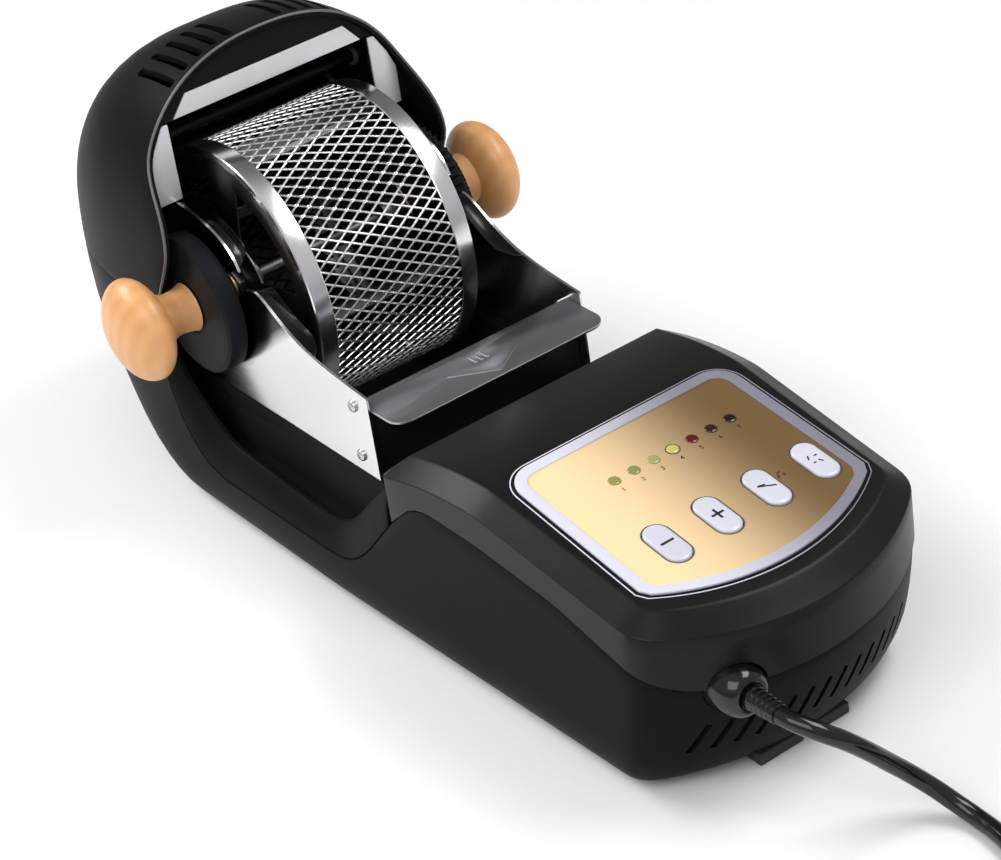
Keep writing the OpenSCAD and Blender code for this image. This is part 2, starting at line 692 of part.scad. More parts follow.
// End plate with four rounded windows
end_at = drum_length / 2 - 1.2;
window_in = 24;
window_out = drum_radius - 17;
module end_plate(inner_face) {
    color("#3a3b3c") on_feet() difference() {
        union() {
            across(inner_face, inner_face + drum_sheet) circle(r = mesh_in * cos(mesh_da / 2) - 0.1, $fn = 128);
            bar_x(inner_face - 7, inner_face + drum_sheet, 11);
        }
        bar_x(inner_face - 10, inner_face + 5, shaft_radius + 0.01);
        for (k = [0:3]) across(inner_face - 1, inner_face + 3) rotate(90 * k + 45) window();
    }
}
module window() {
    polygon(concat(arc_points(window_out, -32, 32, 8), arc_points(window_in, 26, -26, 13)));
}
module right_end_plate() {
    end_plate(end_at - drum_sheet);
}
module left_end_plate() {
    mirror([1, 0, 0]) end_plate(end_at - drum_sheet);
}

// Four vanes that lift and turn the beans
module drum_vanes() {
    reach = end_at - drum_sheet - 0.05;
    color("#d0d2d3") on_feet() for (k = [0:3]) rotate([90 * k, 0, 0]) translate([0, 0, drum_radius - 14.5])
        rotate([0, 0, 0]) translate([-reach, -0.6, 0]) union() {
            cube([2 * reach, 1.2, 12]);
            translate([0, -5, 0]) cube([2 * reach, 6, 1.2]);
        }
}

module drum_shaft() {
    color("#bfc1c2") on_feet() bar_x(-knob_tip + 16, knob_tip - 16, shaft_radius);
}

// Bushes that stay still in the slots while the shaft turns
module shaft_bushes() {
    color("#b08d57") on_feet() both_sides() difference() {
        union() {
            bar_x(plate_in - 11, disc_in - 0.3, bush_radius);
            bar_x(plate_in - 11, plate_in - 9.4, bush_radius + 2);
        }
        bar_x(plate_in - 14, disc_in + 3, shaft_radius + running_gap);
    }
}

module left_disc() {
    color("#2e3032") on_feet() mirror([1, 0, 0]) difference() {
        union() {
            bar_x(disc_in, disc_out - 1.5, disc_radius);
            translate([disc_out - 1.5, 0, 0]) rotate([0, 90, 0])
                cylinder(h = 1.5, r1 = disc_radius, r2 = disc_radius - 1.5, $fn = fine);
        }
        bar_x(disc_in - 1, disc_out + 1, shaft_radius + 0.01);
    }
}

// Spur gear outline with straight-sided teeth, a tooth on the first axis
module gear_outline(teeth, turn = 0) {
    r = gear_module * teeth / 2;
    pitch_angle = 360 / teeth;
    rotate(turn) polygon([
        for (k = [0:teeth - 1]) each [
            for (s = [[-0.34, -1.2], [-0.22, 0], [-0.1, 0.95], [0.1, 0.95], [0.22, 0], [0.34, -1.2]])
                (r + s[1] * gear_module) * [cos((k + s[0]) * pitch_angle), sin((k + s[0]) * pitch_angle)]
        ]
    ]);
}
// Angle of a line of centres, in the outline's own turning sense
idler_line = -90 + idler_lean;
pinion_line = -90 + pinion_lean;
module drum_gear() {
    color("#1d1d1e") on_feet() difference() {
        union() {
            across(gear_in, gear_in + gear_width) gear_outline(drum_teeth, idler_line);
            bar_x(gear_in + gear_width - 0.1, disc_out, disc_radius - 4);
        }
        bar_x(disc_in - 1, disc_out + 1, shaft_radius + 0.01);
    }
}
idler_turn = idler_line + 180 + 180 / idler_teeth;
module idler_gear() {
    color("#d9d4c4") on_feet() translate([0, idler_yz[0], idler_yz[1]]) difference() {
        across(gear_in, gear_in + gear_width) gear_outline(idler_teeth, idler_turn);
        bar_x(gear_in - 1, gear_in + gear_width + 1, stub_radius + running_gap);
        for (k = [0:4]) rotate([72 * k, 0, 0]) bar_x(gear_in - 1, gear_in + gear_width + 1, 3.6, [0, 12.5]);
    }
}
// The idler's tooth that faces the pinion sets where the pinion's gap has to be
facing = (pinion_line - idler_turn) / (360 / idler_teeth);
facing_error = facing - round(facing);
pinion_turn = pinion_line + 180 + (0.5 + facing_error) * 360 / pinion_teeth;
module motor_pinion() {
    color("#c9a24a") on_feet() translate([0, pinion_yz[0], pinion_yz[1]]) difference() {
        across(gear_in, gear_in + gear_width) gear_outline(pinion_teeth, pinion_turn);
        bar_x(gear_in - 1, gear_in + gear_width + 1, motor_shaft_r + 0.01);
    }
}
module idler_axle() {
    color("#b5b5b5") on_feet() {
        bar_x(plate_in - 4, gear_in + gear_width + 0.8, stub_radius, idler_yz);
        bar_x(gear_in + gear_width + 0.15, gear_in + gear_width + 0.9, stub_radius + 1.6, idler_yz);
    }
}

motor_face = plate_in - 4.5;
module gear_motor() {
    color("#b9bbbd") on_feet() {
        bar_x(motor_face - motor_length, motor_face, motor_radius, pinion_yz);
        bar_x(motor_face - 0.1, gear_in + gear_width, motor_shaft_r, pinion_yz);
        bar_x(motor_face - motor_length - 5, motor_face - motor_length + 0.1, 4, pinion_yz);
    }
}
// Bracket that bolts the motor to the floor of the base
module motor_bracket() {
    floor_z = -axis_height + shell_wall;
    color("#a0a0a0") on_feet() difference() {
        union() {
            translate([motor_face + 0.05, pinion_yz[0] - 15, floor_z]) cube([1.6, 30, cradle_floor - floor_z - 0.4]);
            translate([motor_face - 14, pinion_yz[0] + 13.4, floor_z]) cube([15.6, 10, 1.4]);
            translate([motor_face - 14, pinion_yz[0] - 23.4, floor_z]) cube([15.6, 10, 1.4]);
            translate([motor_face + 0.05, pinion_yz[0] - 23.4, floor_z]) cube([1.6, 46.8, 1.4]);
        }
        bar_x(motor_face - 1, motor_face + 4, 3.2, pinion_yz);
    }
}

// Wooden knob turned on the shaft's end
module knob_shape() {
    x0 = disc_out;
    x1 = x0 + knob_neck;
    cap_mid = x1 + knob_cap * 0.46;
    steps = 10;
    rotate([0, 90, 0]) rotate_extrude($fn = fine) polygon(concat(
        [[0, x0], [neck_radius + 1.2, x0], [neck_radius, x0 + 3], [neck_radius - 0.8, x0 + knob_neck * 0.55],
            [neck_radius + 0.6, x1 - 2.5]],
        [for (k = [0:steps]) let (a = -62 + 152 * k / steps)
            [knob_radius * pow(cos(a), 0.9), cap_mid + (a < 0 ? 0.46 : 0.54) * knob_cap * sin(a)]]
    ));
}
module right_knob() {
    color("#e0a468") on_feet() difference() {
        knob_shape();
        bar_x(disc_out - 1, knob_tip - 16, shaft_radius + 0.01);
    }
}
module left_knob() {
    color("#e0a468") on_feet() mirror([1, 0, 0]) difference() {
        knob_shape();
        bar_x(disc_out - 1, knob_tip - 16, shaft_radius + 0.01);
    }
}
// Lock nuts that clamp the end plates on the shaft
module knob_nuts() {
    color("#c6c8c9") on_feet() both_sides() difference() {
        bar_x6(end_at + 0.05, end_at + 4.5, 8);
        bar_x(end_at - 1, end_at + 6, shaft_radius + 0.01);
    }
}
module bar_x6(x0, x1, r) {
    translate([x0, 0, 0]) rotate([0, 90, 0]) cylinder(h = x1 - x0, r = r, $fn = 6);
}

// Control fascia, drawn flat on the deck with its back edge at zero
panel_arc = 112;
function panel_half(tuck) =
    let (bw = panel_back_width / 2 - tuck, fw = panel_front_width / 2 - tuck, c = max(2, 14 - tuck))
    concat(
        [for (a = [90:-15:0]) [bw - c + c * cos(a), -tuck - c + c * sin(a)]],
        [for (s = [1:-0.125:0]) let (x = fw * s)
            [x, -panel_length + tuck + panel_arc - sqrt(panel_arc * panel_arc - x * x)]]
    );
module panel_outline(tuck = 0) {
    half = panel_half(tuck);
    n = len(half);
    polygon(concat(half, [for (k = [n - 2:-1:0]) [-half[k][0], half[k][1]]]));
}
fascia_lift = 0.9;
bezel_lift = 1.6;
button_xs = [for (k = [-1.5:1:1.5]) 7 + button_pitch * k];
button_row = -panel_length + 40;
lamp_row = button_row + 47.5;
lamp_xs = [for (k = [0:lamp_count - 1]) 7 + lamp_pitch * (k - (lamp_count - 1) / 2)];
module pill(length, width, height) {
    run = length - width;
    translate([-width / 2, -run / 2, 0]) cube([width, run, height]);
    for (s = [-1, 1]) translate([0, s * run / 2, 0]) cylinder(h = height, d = width, $fn = 48);
}
module fascia() {
    color("#e3b567") on_deck() difference() {
        linear_extrude(height = fascia_lift) panel_outline(bezel_width);
        for (x = button_xs) translate([x, button_row, -1]) pill(button_length + 0.8, button_width + 0.8, 4);
        for (x = lamp_xs) translate([x, lamp_row, -1]) cylinder(h = 4, d = lamp_diameter + 0.1, $fn = 32);
    }
}
module bezel() {
    color("#c9c9dc") on_deck() difference() {
        linear_extrude(height = bezel_lift) panel_outline(0);
        translate([0, 0, -1]) linear_extrude(height = bezel_lift + 2) panel_outline(bezel_width - 0.05);
    }
}
button_top = 2.2;
button_foot = -4.2;
module button(k) {
    color("#eeeef8") on_deck() translate([button_xs[k], button_row, button_foot]) {
        pill(button_length, button_width, button_top - button_foot);
        translate([0, 0, -1]) cylinder(h = 1.1, r = 2, $fn = 32);
    }
}
module minus_button() {
    button(0);
}
module plus_button() {
    button(1);
}
module level_button() {
    button(2);
}
module start_button() {
    button(3);
}
board_top = button_foot - 1 - 2.2 - button_travel;
lamp_colors = ["#9a9a4e", "#8d9a55", "#a9ab6c", "#c9c07a", "#5a1010", "#35120e", "#1d100c"];
module level_lamps() {
    for (k = [0:lamp_count - 1]) color(lamp_colors[k % 7]) on_deck() translate([lamp_xs[k], lamp_row, board_top])
        cylinder(h = 1.2 - board_top, d = lamp_diameter, $fn = 32);
}
module control_board() {
    color("#1f6b3a") on_deck() translate([-54, -104, board_top - 1.6]) difference() {
        cube([108, 86, 1.6]);
        for (x = [5, 103]) for (y = [5, 81]) translate([x, y, -1]) cylinder(h = 4, r = screw_r + 0.1, $fn = 24);
    }
}
module key_switches() {
    color("#2b2b2b") on_deck() for (x = button_xs) translate([x, button_row, board_top]) {
        translate([-3, -3, 0]) cube([6, 6, 1.6]);
        cylinder(h = 2, r = 1.6, $fn = 32);
    }
}
module board_posts() {
    color("#262626") on_deck() for (x = [-49, 49]) for (y = [-99, -23]) translate([x, y, board_top]) {
        translate([0, 0, 0.02]) cylinder(h = -board_top - shell_wall - 0.15, r = 3.2, $fn = 32);
        translate([0, 0, -4.5]) cylinder(h = 4.6, r = screw_r, $fn = 24);
        translate([0, 0, -3.42]) cylinder(h = 1.8, r = screw_head_r, $fn = 32);
    }
}

// Mains board on the floor of the base, with its parts
board_y = -262;
module power_board() {
    floor_z = -axis_height + shell_wall;
    color("#7a5b2a") on_feet() {
        translate([-40, board_y, floor_z + 6]) cube([86, 62, 1.6]);
        for (x = [-35, 41]) for (y = [5, 57]) translate([x, board_y + y, floor_z]) cylinder(h = 6.1, r = 3, $fn = 32);
    }
}
module power_parts() {
    top = -axis_height + shell_wall + 7.6;
    color("#3a4a66") on_feet() {
        translate([-34, board_y + 8, top]) cube([30, 26, 22]);
        translate([4, board_y + 10, top]) cube([19, 15, 16]);
        translate([34, board_y + 18, top]) cylinder(h = 20, r = 6, $fn = 32);
        translate([34, board_y + 36, top]) cylinder(h = 14, r = 5, $fn = 32);
        translate([4, board_y + 36, top]) cube([20, 12, 18]);
    }
}

// Cooling fan behind the front slots
fan_size = 40;
fan_y = -front_reach + 52;
fan_z = -axis_height + shell_wall + fan_size / 2;
module fan_frame() {
    color("#202020") on_feet() translate([20, fan_y, fan_z]) rotate([90, 0, 0]) {
        difference() {
            translate([-fan_size / 2, -fan_size / 2, -5]) cube([fan_size, fan_size, 10]);
            translate([0, 0, -6]) cylinder(h = 12, r = fan_size / 2 - 1.5, $fn = fine);
            for (x = [-1, 1]) for (y = [-1, 1]) translate([x * 16, y * 16, -6]) cylinder(h = 12, r = 1.6, $fn = 24);
        }
        difference() {
            union() {
                translate([0, 0, -5]) cylinder(h = 2, r = 8, $fn = fine);
                for (k = [0:3]) rotate([0, 0, 45 + 90 * k]) translate([6, -1, -5]) cube([fan_size / 2 - 6.6, 2, 2]);
            }
            translate([0, 0, -6]) cylinder(h = 12, r = 1.5, $fn = 24);
        }
    }
}
module fan_rotor() {
    color("#303030") on_feet() translate([20, fan_y, fan_z]) rotate([90, 0, 0]) {
        translate([0, 0, -2.6]) cylinder(h = 7.4, r = 7.5, $fn = fine);
        translate([0, 0, -5]) cylinder(h = 2.5, r = 1.46, $fn = 24);
        for (k = [0:6]) rotate([0, 0, 360 / 7 * k]) translate([6, 0, 1.1]) rotate([38, 0, 0])
            translate([0, -4, -0.5]) cube([fan_size / 2 - 8.6, 8, 1]);
    }
}

// Moulded boss that the cord comes out of, clamped between cover and base
module cord_gland() {
    color("#151515") on_feet() translate([gland_x, gland_y, gland_z]) rotate([90, 0, 0]) difference() {
        union() {
            translate([0, 0, -18.5]) cylinder(h = 3, r = boss_radius + 3, $fn = fine);
            rotate_extrude($fn = fine) polygon(concat(
                [[0, -16], [boss_radius, -16]],
                [for (a = [0:15:75]) [boss_radius - 5.5 * (1 - cos(a)), 3 + 6 * sin(a)]], [[0, 8.8]]
            ));
        }
        translate([0, 0, -19.5]) cylinder(h = 34, r = 6.4, $fn = fine);
    }
}
module strain_relief() {
    back = gland_y + 14;
    color("#111111") on_feet() translate([gland_x, back, gland_z]) rotate([90, 0, 0]) difference() {
        rotate_extrude($fn = fine) polygon([
            [0, 0], [6.3, 0], [6.3, 23], [5.9, 25], [4.9, back - relief_tip], [0, back - relief_tip]
        ]);
        translate([0, 0, -1]) cylinder(h = 60, r = cord_r + 0.02, $fn = fine);
    }
}

// Middle line of the free stretch of cord, on the drum axis's own zero
coil_entry = [coil_centre[0] - coil_radius, coil_centre[1] + cord_diameter, coil_low];
cord_route = [
    [-46, -392, -63], [-46, -398, -63], [-46, -405, -63], [-44, -413, -64], [-39, -421, -67], [-31, -427, -73],
    [-22, -430, -82], [-13, -432, -92], [-4, -435, -102], [4, -441, -111.5], [9, -450, -118.5],
    [11, -461, cord_low], [10, -473, cord_low], [7, -486, cord_low], [3, -500, cord_low], [0, -514, cord_low],
    [-2, -527, cord_low], [-3.6, -539, cord_low + 0.5], [-4, -550, coil_low], coil_entry
];
function unit(v) = v / norm(v);
function cord_frames(route) = [
    for (k = [0:len(route) - 1])
        let (
            along = unit(route[min(k + 1, len(route) - 1)] - route[max(k - 1, 0)]),
            side = unit(cross(along, [0, 0, 1]))
        )
        [route[k], side, cross(side, along)]
];
module tube(route, r, sides) {
    frames = cord_frames(route);
    n = len(route);
    polyhedron(
        points = [for (f = frames) for (k = [0:sides - 1])
            let (a = 360 * (k + 0.5) / sides) f[0] + r * (cos(a) * f[1] + sin(a) * f[2])],
        faces = concat(
            [[for (k = [0:sides - 1]) k]],
            [for (j = [0:n - 2]) for (k = [0:sides - 1])
                let (a = j * sides + k, b = j * sides + (k + 1) % sides)
                each [[a, a + sides, b + sides], [a, b + sides, b]]],
            [[for (k = [sides - 1:-1:0]) (n - 1) * sides + k]]
        )
    );
}
module power_cord() {
    color("#0c0c0c") on_feet() tube(cord_route, cord_r, 8);
}

// Coil of the cord's unseen length: in along the bottom layer, up, and out along the top one
rings = 24;
layer_rise = cord_diameter + 0.7;
start_angle = 180;
climb_dip = 1.6;
plug_tail = 17;
function coil_inner() = coil_radius - coil_pitch * coil_turns;
function coil_point(t) =
    let (
        r = t <= coil_turns ? coil_radius - coil_pitch * t
            : t >= coil_turns + 0.5 ? coil_inner() + coil_pitch * (t - coil_turns - 0.5)
            : coil_inner() - climb_dip * sin(360 * (t - coil_turns)),
        u = min(1, max(0, (t - coil_turns) * 2)),
        z = coil_low + layer_rise * (1 - cos(180 * u)) / 2,
        a = start_angle + 360 * t
    )
    [coil_centre[0] + r * cos(a), coil_centre[1] + r * sin(a), z];
coil_end = 2 * coil_turns + 0.5;
coil_out = let (a = start_angle + 360 * coil_end) [-sin(a), cos(a), 0];
coil_route = concat(
    [coil_entry],
    [for (k = [0:coil_end * rings]) coil_point(k / rings)],
    [coil_point(coil_end) + plug_tail * coil_out]
);
module cord_coil() {
    color("#0c0c0c") on_feet() tube(coil_route, cord_r * 0.995, 6);
}
coil_gap = min([
    for (i = [0:2:len(coil_route) - 1]) for (j = [i + rings / 2:1:len(coil_route) - 1])
        norm(coil_route[i] - coil_route[j])
]) - cord_diameter;
route_length = sum_steps(cord_route) + sum_steps(coil_route);
function sum_steps(route) =
    let (steps = [for (k = [1:len(route) - 1]) norm(route[k] - route[k - 1])]) steps * [for (v = steps) 1];
echo(least_gap_of_coil = coil_gap, length_of_cord = route_length, pieces = sum_steps(cord_route));

module cord_tie() {
    w = 12;
    span = 2 * cord_r + layer_rise + 0.6;
    mid = coil_radius - coil_pitch * coil_turns / 2;
    wide = coil_pitch * coil_turns + cord_diameter + 5;
    color("#151515") on_feet() translate([coil_centre[0] + mid, coil_centre[1], coil_low - cord_r - 1.1])
        difference() {
            translate([-wide / 2 - 0.9, -w / 2, 0]) cube([wide + 1.8, w, span + 1.8]);
            translate([-wide / 2, -w / 2 - 1, 0.9]) cube([wide, w + 2, span]);
        }
}

// Plug with two round pins, lying beside the coil
plug_at = coil_point(coil_end) + plug_tail * coil_out;
plug_heading = atan2(coil_out[1], coil_out[0]);
module on_plug() {
    on_feet() translate([plug_at[0], plug_at[1], 0]) rotate([0, 0, plug_heading])
        translate([0, 0, plug_at[2]]) rotate([0, 90, 0]) children();
}
plug_drop = plug_at[2] - cord_low + cord_r;
module plug_body() {
    color("#141414") on_plug() intersection() {
        union() {
            cylinder(h = 16, r1 = 5, r2 = 6.5, $fn = fine);
            hull() {
                translate([-7, -8, 14]) cube([plug_drop + 6, 16, 1]);
                translate([-9, -17, 30]) cube([plug_drop + 9 - 0.1, 34, 16]);
            }
        }
        translate([-30, -30, 0]) cube([30 + plug_drop - 0.05, 60, 60]);
    }
}
module plug_pins() {
    color("#c8c9ca") on_plug() for (s = [-1, 1]) translate([0, 9.5 * s, 46.02]) {
        cylinder(h = 17, r = 2.4, $fn = 32);
        translate([0, 0, 17]) cylinder(h = 2, r1 = 2.4, r2 = 1.4, $fn = 32);
    }
}

module front_foot() {
    color("#1a1a1a") on_feet() difference() {
        translate([-27, -front_reach + 24, -axis_height - foot_height]) cube([54, 14, foot_height + 4]);
        translate([-1, -front_reach + 23, -axis_height - foot_height - 1]) cube([2, 16, foot_height + 2]);
        translate([-30, -front_reach + 20, -axis_height]) cube([60, 20, 20]);
    }
}
module rubber_feet() {
    color("#2a2a2a") on_feet() for (p = foot_spots) translate([p[0], p[1], -axis_height - foot_height])
        difference() {
            cylinder(h = foot_height, r1 = 8, r2 = 9, $fn = fine);
            translate([0, 0, -1]) cylinder(h = 4, r = 4, $fn = 32);
            cylinder(h = 20, r = screw_r + 0.1, $fn = 24);
        }
}
module base_screws() {
    color("#8a8a8a") on_feet() for (p = foot_spots) translate([p[0], p[1], -axis_height - foot_height + 0.6])
    {
        cylinder(h = 2.4, r = 3.2, $fn = 32);
        cylinder(h = foot_height + 5.4, r = screw_r, $fn = 24);
    }
}

base_shell();
rear_hood();
front_cover();
side_rails();
bay_partitions();
mouth_face();
mouth_flanges();
chamber_wall();
left_side_plate();
right_side_plate();
front_plate();
chamber_screws();
chamber_cradle();
chaff_tray();
heater_rods();
heater_insulators();
thermal_cutout();
drum_mesh();
left_rim();
right_rim();
left_end_plate();
right_end_plate();
drum_vanes();
drum_shaft();
shaft_bushes();
left_disc();
drum_gear();
left_knob();
right_knob();
knob_nuts();
idler_gear();
idler_axle();
motor_pinion();
gear_motor();
motor_bracket();
fascia();
bezel();
minus_button();
plus_button();
level_button();
start_button();
level_lamps();
control_board();
key_switches();
board_posts();
power_board();
power_parts();
fan_frame();
fan_rotor();
cord_gland();
strain_relief();
power_cord();
cord_coil();
cord_tie();
plug_body();
plug_pins();
front_foot();
rubber_feet();
base_screws();
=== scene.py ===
"""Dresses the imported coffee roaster: smooth mouldings, expanded mesh, turned wood, steel and a lit stage.

Sizes are millimetres measured from the drum's axis, with the control deck towards -Y. at() turns them
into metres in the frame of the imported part.
"""

import json
from math import atan2, ceil, cos, pi, radians, sin, sqrt, tan

import bmesh
import bpy
from bpy.props import FloatProperty, FloatVectorProperty, IntProperty, PointerProperty
from mathutils import Matrix, Vector


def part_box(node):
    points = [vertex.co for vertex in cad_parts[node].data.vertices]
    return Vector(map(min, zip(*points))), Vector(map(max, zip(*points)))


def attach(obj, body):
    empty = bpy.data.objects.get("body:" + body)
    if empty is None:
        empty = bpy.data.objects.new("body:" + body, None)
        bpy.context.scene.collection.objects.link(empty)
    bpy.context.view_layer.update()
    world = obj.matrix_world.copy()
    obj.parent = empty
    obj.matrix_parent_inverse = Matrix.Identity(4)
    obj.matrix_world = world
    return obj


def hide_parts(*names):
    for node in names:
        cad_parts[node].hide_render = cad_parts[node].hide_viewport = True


bl_info = {
    "name": "Coffee Roaster Dressing",
    "version": (1, 0, 0),
    "blender": (4, 5, 0),
    "location": "View3D > Sidebar > Roaster",
    "description": "Builds the visible pieces, finishes and studio of a drum coffee roaster",
    "category": "Object",
}

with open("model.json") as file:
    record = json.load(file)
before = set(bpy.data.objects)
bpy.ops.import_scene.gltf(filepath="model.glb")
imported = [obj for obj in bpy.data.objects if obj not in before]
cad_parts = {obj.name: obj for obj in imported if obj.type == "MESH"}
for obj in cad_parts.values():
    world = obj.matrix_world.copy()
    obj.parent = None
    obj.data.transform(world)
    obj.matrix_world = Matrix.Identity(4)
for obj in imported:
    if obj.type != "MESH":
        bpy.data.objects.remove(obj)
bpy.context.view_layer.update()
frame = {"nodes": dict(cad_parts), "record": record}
BODY_OF = {n: b for b, nodes in frame["record"]["behaviour"]["bodies"].items() for n in nodes}
MM = 0.001


def middle(node):
    """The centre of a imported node's box, in metres."""
    low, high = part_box(node)
    return (Vector(low) + Vector(high)) / 2


AXIS = middle("drum_shaft")


def at(x, y, z):
    """A point in metres from millimetres about the drum's axis."""
    return AXIS + Vector((x, y, z)) * MM


# ---------------------------------------------------------------- sizes and colours a user would change

class RoasterSizes(bpy.types.PropertyGroup):
    """Sizes of the visible forms."""

    sheet_edge: FloatProperty(
        name="Sheet Edge", description="Rounding of sheet metal edges, in mm", default=0.22)
    shoulder: FloatProperty(
        name="Shoulder", description="Width of the cover's rounded shoulder, in mm", default=12)
    shoulder_drop: FloatProperty(
        name="Shoulder Drop", description="Height of that shoulder, in mm", default=8)
    mesh_across: IntProperty(
        name="Strands Across", description="Half diamonds along the drum", default=14, min=8)
    mesh_around: IntProperty(
        name="Strands Around", description="Diamonds round the drum", default=74, min=20)
    strand: FloatProperty(
        name="Strand Width", description="Width of a mesh strand, in mm", default=1.1)


class RoasterColours(bpy.types.PropertyGroup):
    """Colours of the finishes, linear."""

    shell: FloatVectorProperty(
        name="Shell", description="Moulded body", subtype="COLOR", default=(0.0070, 0.0070, 0.0073))
    cover: FloatVectorProperty(
        name="Cover", description="Control deck cover", subtype="COLOR", default=(0.0070, 0.0070, 0.0073))
    wood: FloatVectorProperty(
        name="Wood", description="Knob wood", subtype="COLOR", default=(0.76, 0.40, 0.165))
    wood_dark: FloatVectorProperty(
        name="Wood Grain", description="Grain lines", subtype="COLOR", default=(0.60, 0.27, 0.09))
    # The fascia's light and dark ends are painted light: their fall from left to right is a painted
    # reflection of the room.
    gold_lit_end: FloatVectorProperty(
        name="Gold Light", description="Light end of the fascia", subtype="COLOR",
        default=(0.90, 0.655, 0.375))
    gold_shaded_end: FloatVectorProperty(
        name="Gold Dark", description="Dark end of the fascia", subtype="COLOR",
        default=(0.13, 0.075, 0.028))
    silver: FloatVectorProperty(
        name="Bezel", description="Frame round the fascia", subtype="COLOR", default=(0.64, 0.64, 0.72))
    # The frame's dark end is painted light: its fall from left to right is a painted reflection.
    silver_shaded_end: FloatVectorProperty(
        name="Bezel Dark", description="Dark end of that frame", subtype="COLOR",
        default=(0.20, 0.19, 0.23))
    button: FloatVectorProperty(
        name="Buttons", description="Button caps", subtype="COLOR", default=(0.60, 0.61, 0.68))


class StageSettings(bpy.types.PropertyGroup):
    """Camera, lights and floor."""

    azimuth: FloatProperty(name="Azimuth", description="Camera azimuth in degrees", default=-32.41)
    elevation: FloatProperty(name="Elevation", description="Camera elevation in degrees", default=31.79)
    roll: FloatProperty(name="Roll", description="Camera roll in degrees", default=-8.99)
    distance: FloatProperty(name="Distance", description="Camera distance in mm", default=1519.8)
    lens: FloatProperty(name="Lens", description="Focal length in mm", default=105.55)
    floor: FloatVectorProperty(
        name="Floor", description="Floor colour", subtype="COLOR", default=(0.97, 0.97, 0.97))
    world: FloatProperty(name="World", description="Strength of the room's light", default=0.55)


def sizes():
    return bpy.context.scene.roaster_sizes


def colours():
    return bpy.context.scene.roaster_colours


# ---------------------------------------------------------------- node trees written as expressions

class Wire:
    """An output socket that takes part in arithmetic; each operator adds a Math node."""

    def __init__(self, graph, socket):
        self.graph, self.socket = graph, socket

    def maths(self, operation, a, b=None):
        values = {0: a} if b is None else {0: a, 1: b}
        return self.graph.add("ShaderNodeMath", {"operation": operation}, values)

    def __add__(self, other):
        return self.maths("ADD", self, other)

    __radd__ = __add__

    def __sub__(self, other):
        return self.maths("SUBTRACT", self, other)

    def __rsub__(self, other):
        return self.maths("SUBTRACT", other, self)

    def __mul__(self, other):
        return self.maths("MULTIPLY", self, other)

    __rmul__ = __mul__

    def __truediv__(self, other):
        return self.maths("DIVIDE", self, other)

    def __pow__(self, other):
        return self.maths("POWER", self, other)

    def __mod__(self, other):
        return self.maths("FLOORED_MODULO", self, other)

    def sine(self):
        return self.maths("SINE", self)

    def cosine(self):
        return self.maths("COSINE", self)

    def clamped(self, low=0.0, high=1.0):
        return self.maths("MINIMUM", self.maths("MAXIMUM", self, low), high)


class Graph:
    """A shader or geometry tree under construction."""

    def __init__(self, tree):
        self.tree = tree

    def add(self, kind, settings=None, values=None, out=0):
        """One node: its settings are made first, then its sockets get values or links."""
        node = self.tree.nodes.new(kind)
        for name, value in (settings or {}).items():
            if name == "stops":
                ramp = node.color_ramp
                while len(ramp.elements) < len(value):
                    ramp.elements.new(0.5)
                for element, (place, colour) in zip(ramp.elements, value):
                    element.position = place
                    element.color = (*colour, 1.0)
            else:
                setattr(node, name, value)
        for key, value in (values or {}).items():
            self.feed(node.inputs[key], value)
        return Wire(self, node.outputs[out])

    def feed(self, socket, value):
        """Links a wire to a socket, or sets the socket to a value."""
        if isinstance(value, Wire):
            self.tree.links.new(value.socket, socket)
        elif socket.type == "RGBA" and len(value) == 3:
            socket.default_value = (*value, 1.0)
        else:
            socket.default_value = value

    def axis(self, wire, name):
        return self.add("ShaderNodeSeparateXYZ", None, {0: wire}, name)


class Finish(Graph):
    """A material whose pattern reads Object coordinates, in millimetres about the drum's axis."""

    def __init__(self, name):
        self.material = bpy.data.materials.new(name)
        self.material.use_nodes = True
        super().__init__(self.material.node_tree)
        self.tree.nodes.clear()
        self.shader = self.tree.nodes.new("ShaderNodeBsdfPrincipled")
        output = self.tree.nodes.new("ShaderNodeOutputMaterial")
        self.tree.links.new(self.shader.outputs[0], output.inputs[0])
        place = self.add("ShaderNodeTexCoord", None, None, "Object")
        self.place = self.add("ShaderNodeMapping", {"vector_type": "TEXTURE"},
                              {"Vector": place, "Location": tuple(AXIS), "Scale": (MM, MM, MM)})

    def along(self, name):
        """The place along one axis, in mm."""
        return self.axis(self.place, name)

    def radius(self):
        """The distance from the shaft, in mm."""
        y, z = self.along("Y"), self.along("Z")
        return (y * y + z * z) ** 0.5

    def scaled(self, *scale):
        """The place stretched along its axes."""
        return self.add("ShaderNodeMapping", None, {"Vector": self.place, "Scale": scale})

    def noise(self, scale, detail=2.0, vector=None):
        return self.add("ShaderNodeTexNoise", None,
                        {"Vector": vector or self.place, "Scale": scale, "Detail": detail}, "Fac")

    def mix(self, share, first, second):
        """Mixes two colours; 0, 6 and 7 are the Mix node's factor and its colour sockets, 2 its colour."""
        return self.add("ShaderNodeMix", {"data_type": "RGBA"}, {0: share, 6: first, 7: second}, 2)

    def bump(self, height, strength, distance=0.1):
        return self.add("ShaderNodeBump", None,
                        {"Height": height, "Strength": strength, "Distance": distance * MM})

    def set(self, **values):
        """Feeds the shader's sockets, named with underscores for spaces."""
        for name, value in values.items():
            self.feed(self.shader.inputs[name.replace("_", " ")], value)
        return self.material


def toned(colour, share):
    """The colour made lighter or darker."""
    return tuple(min(1.0, c * share) for c in colour)


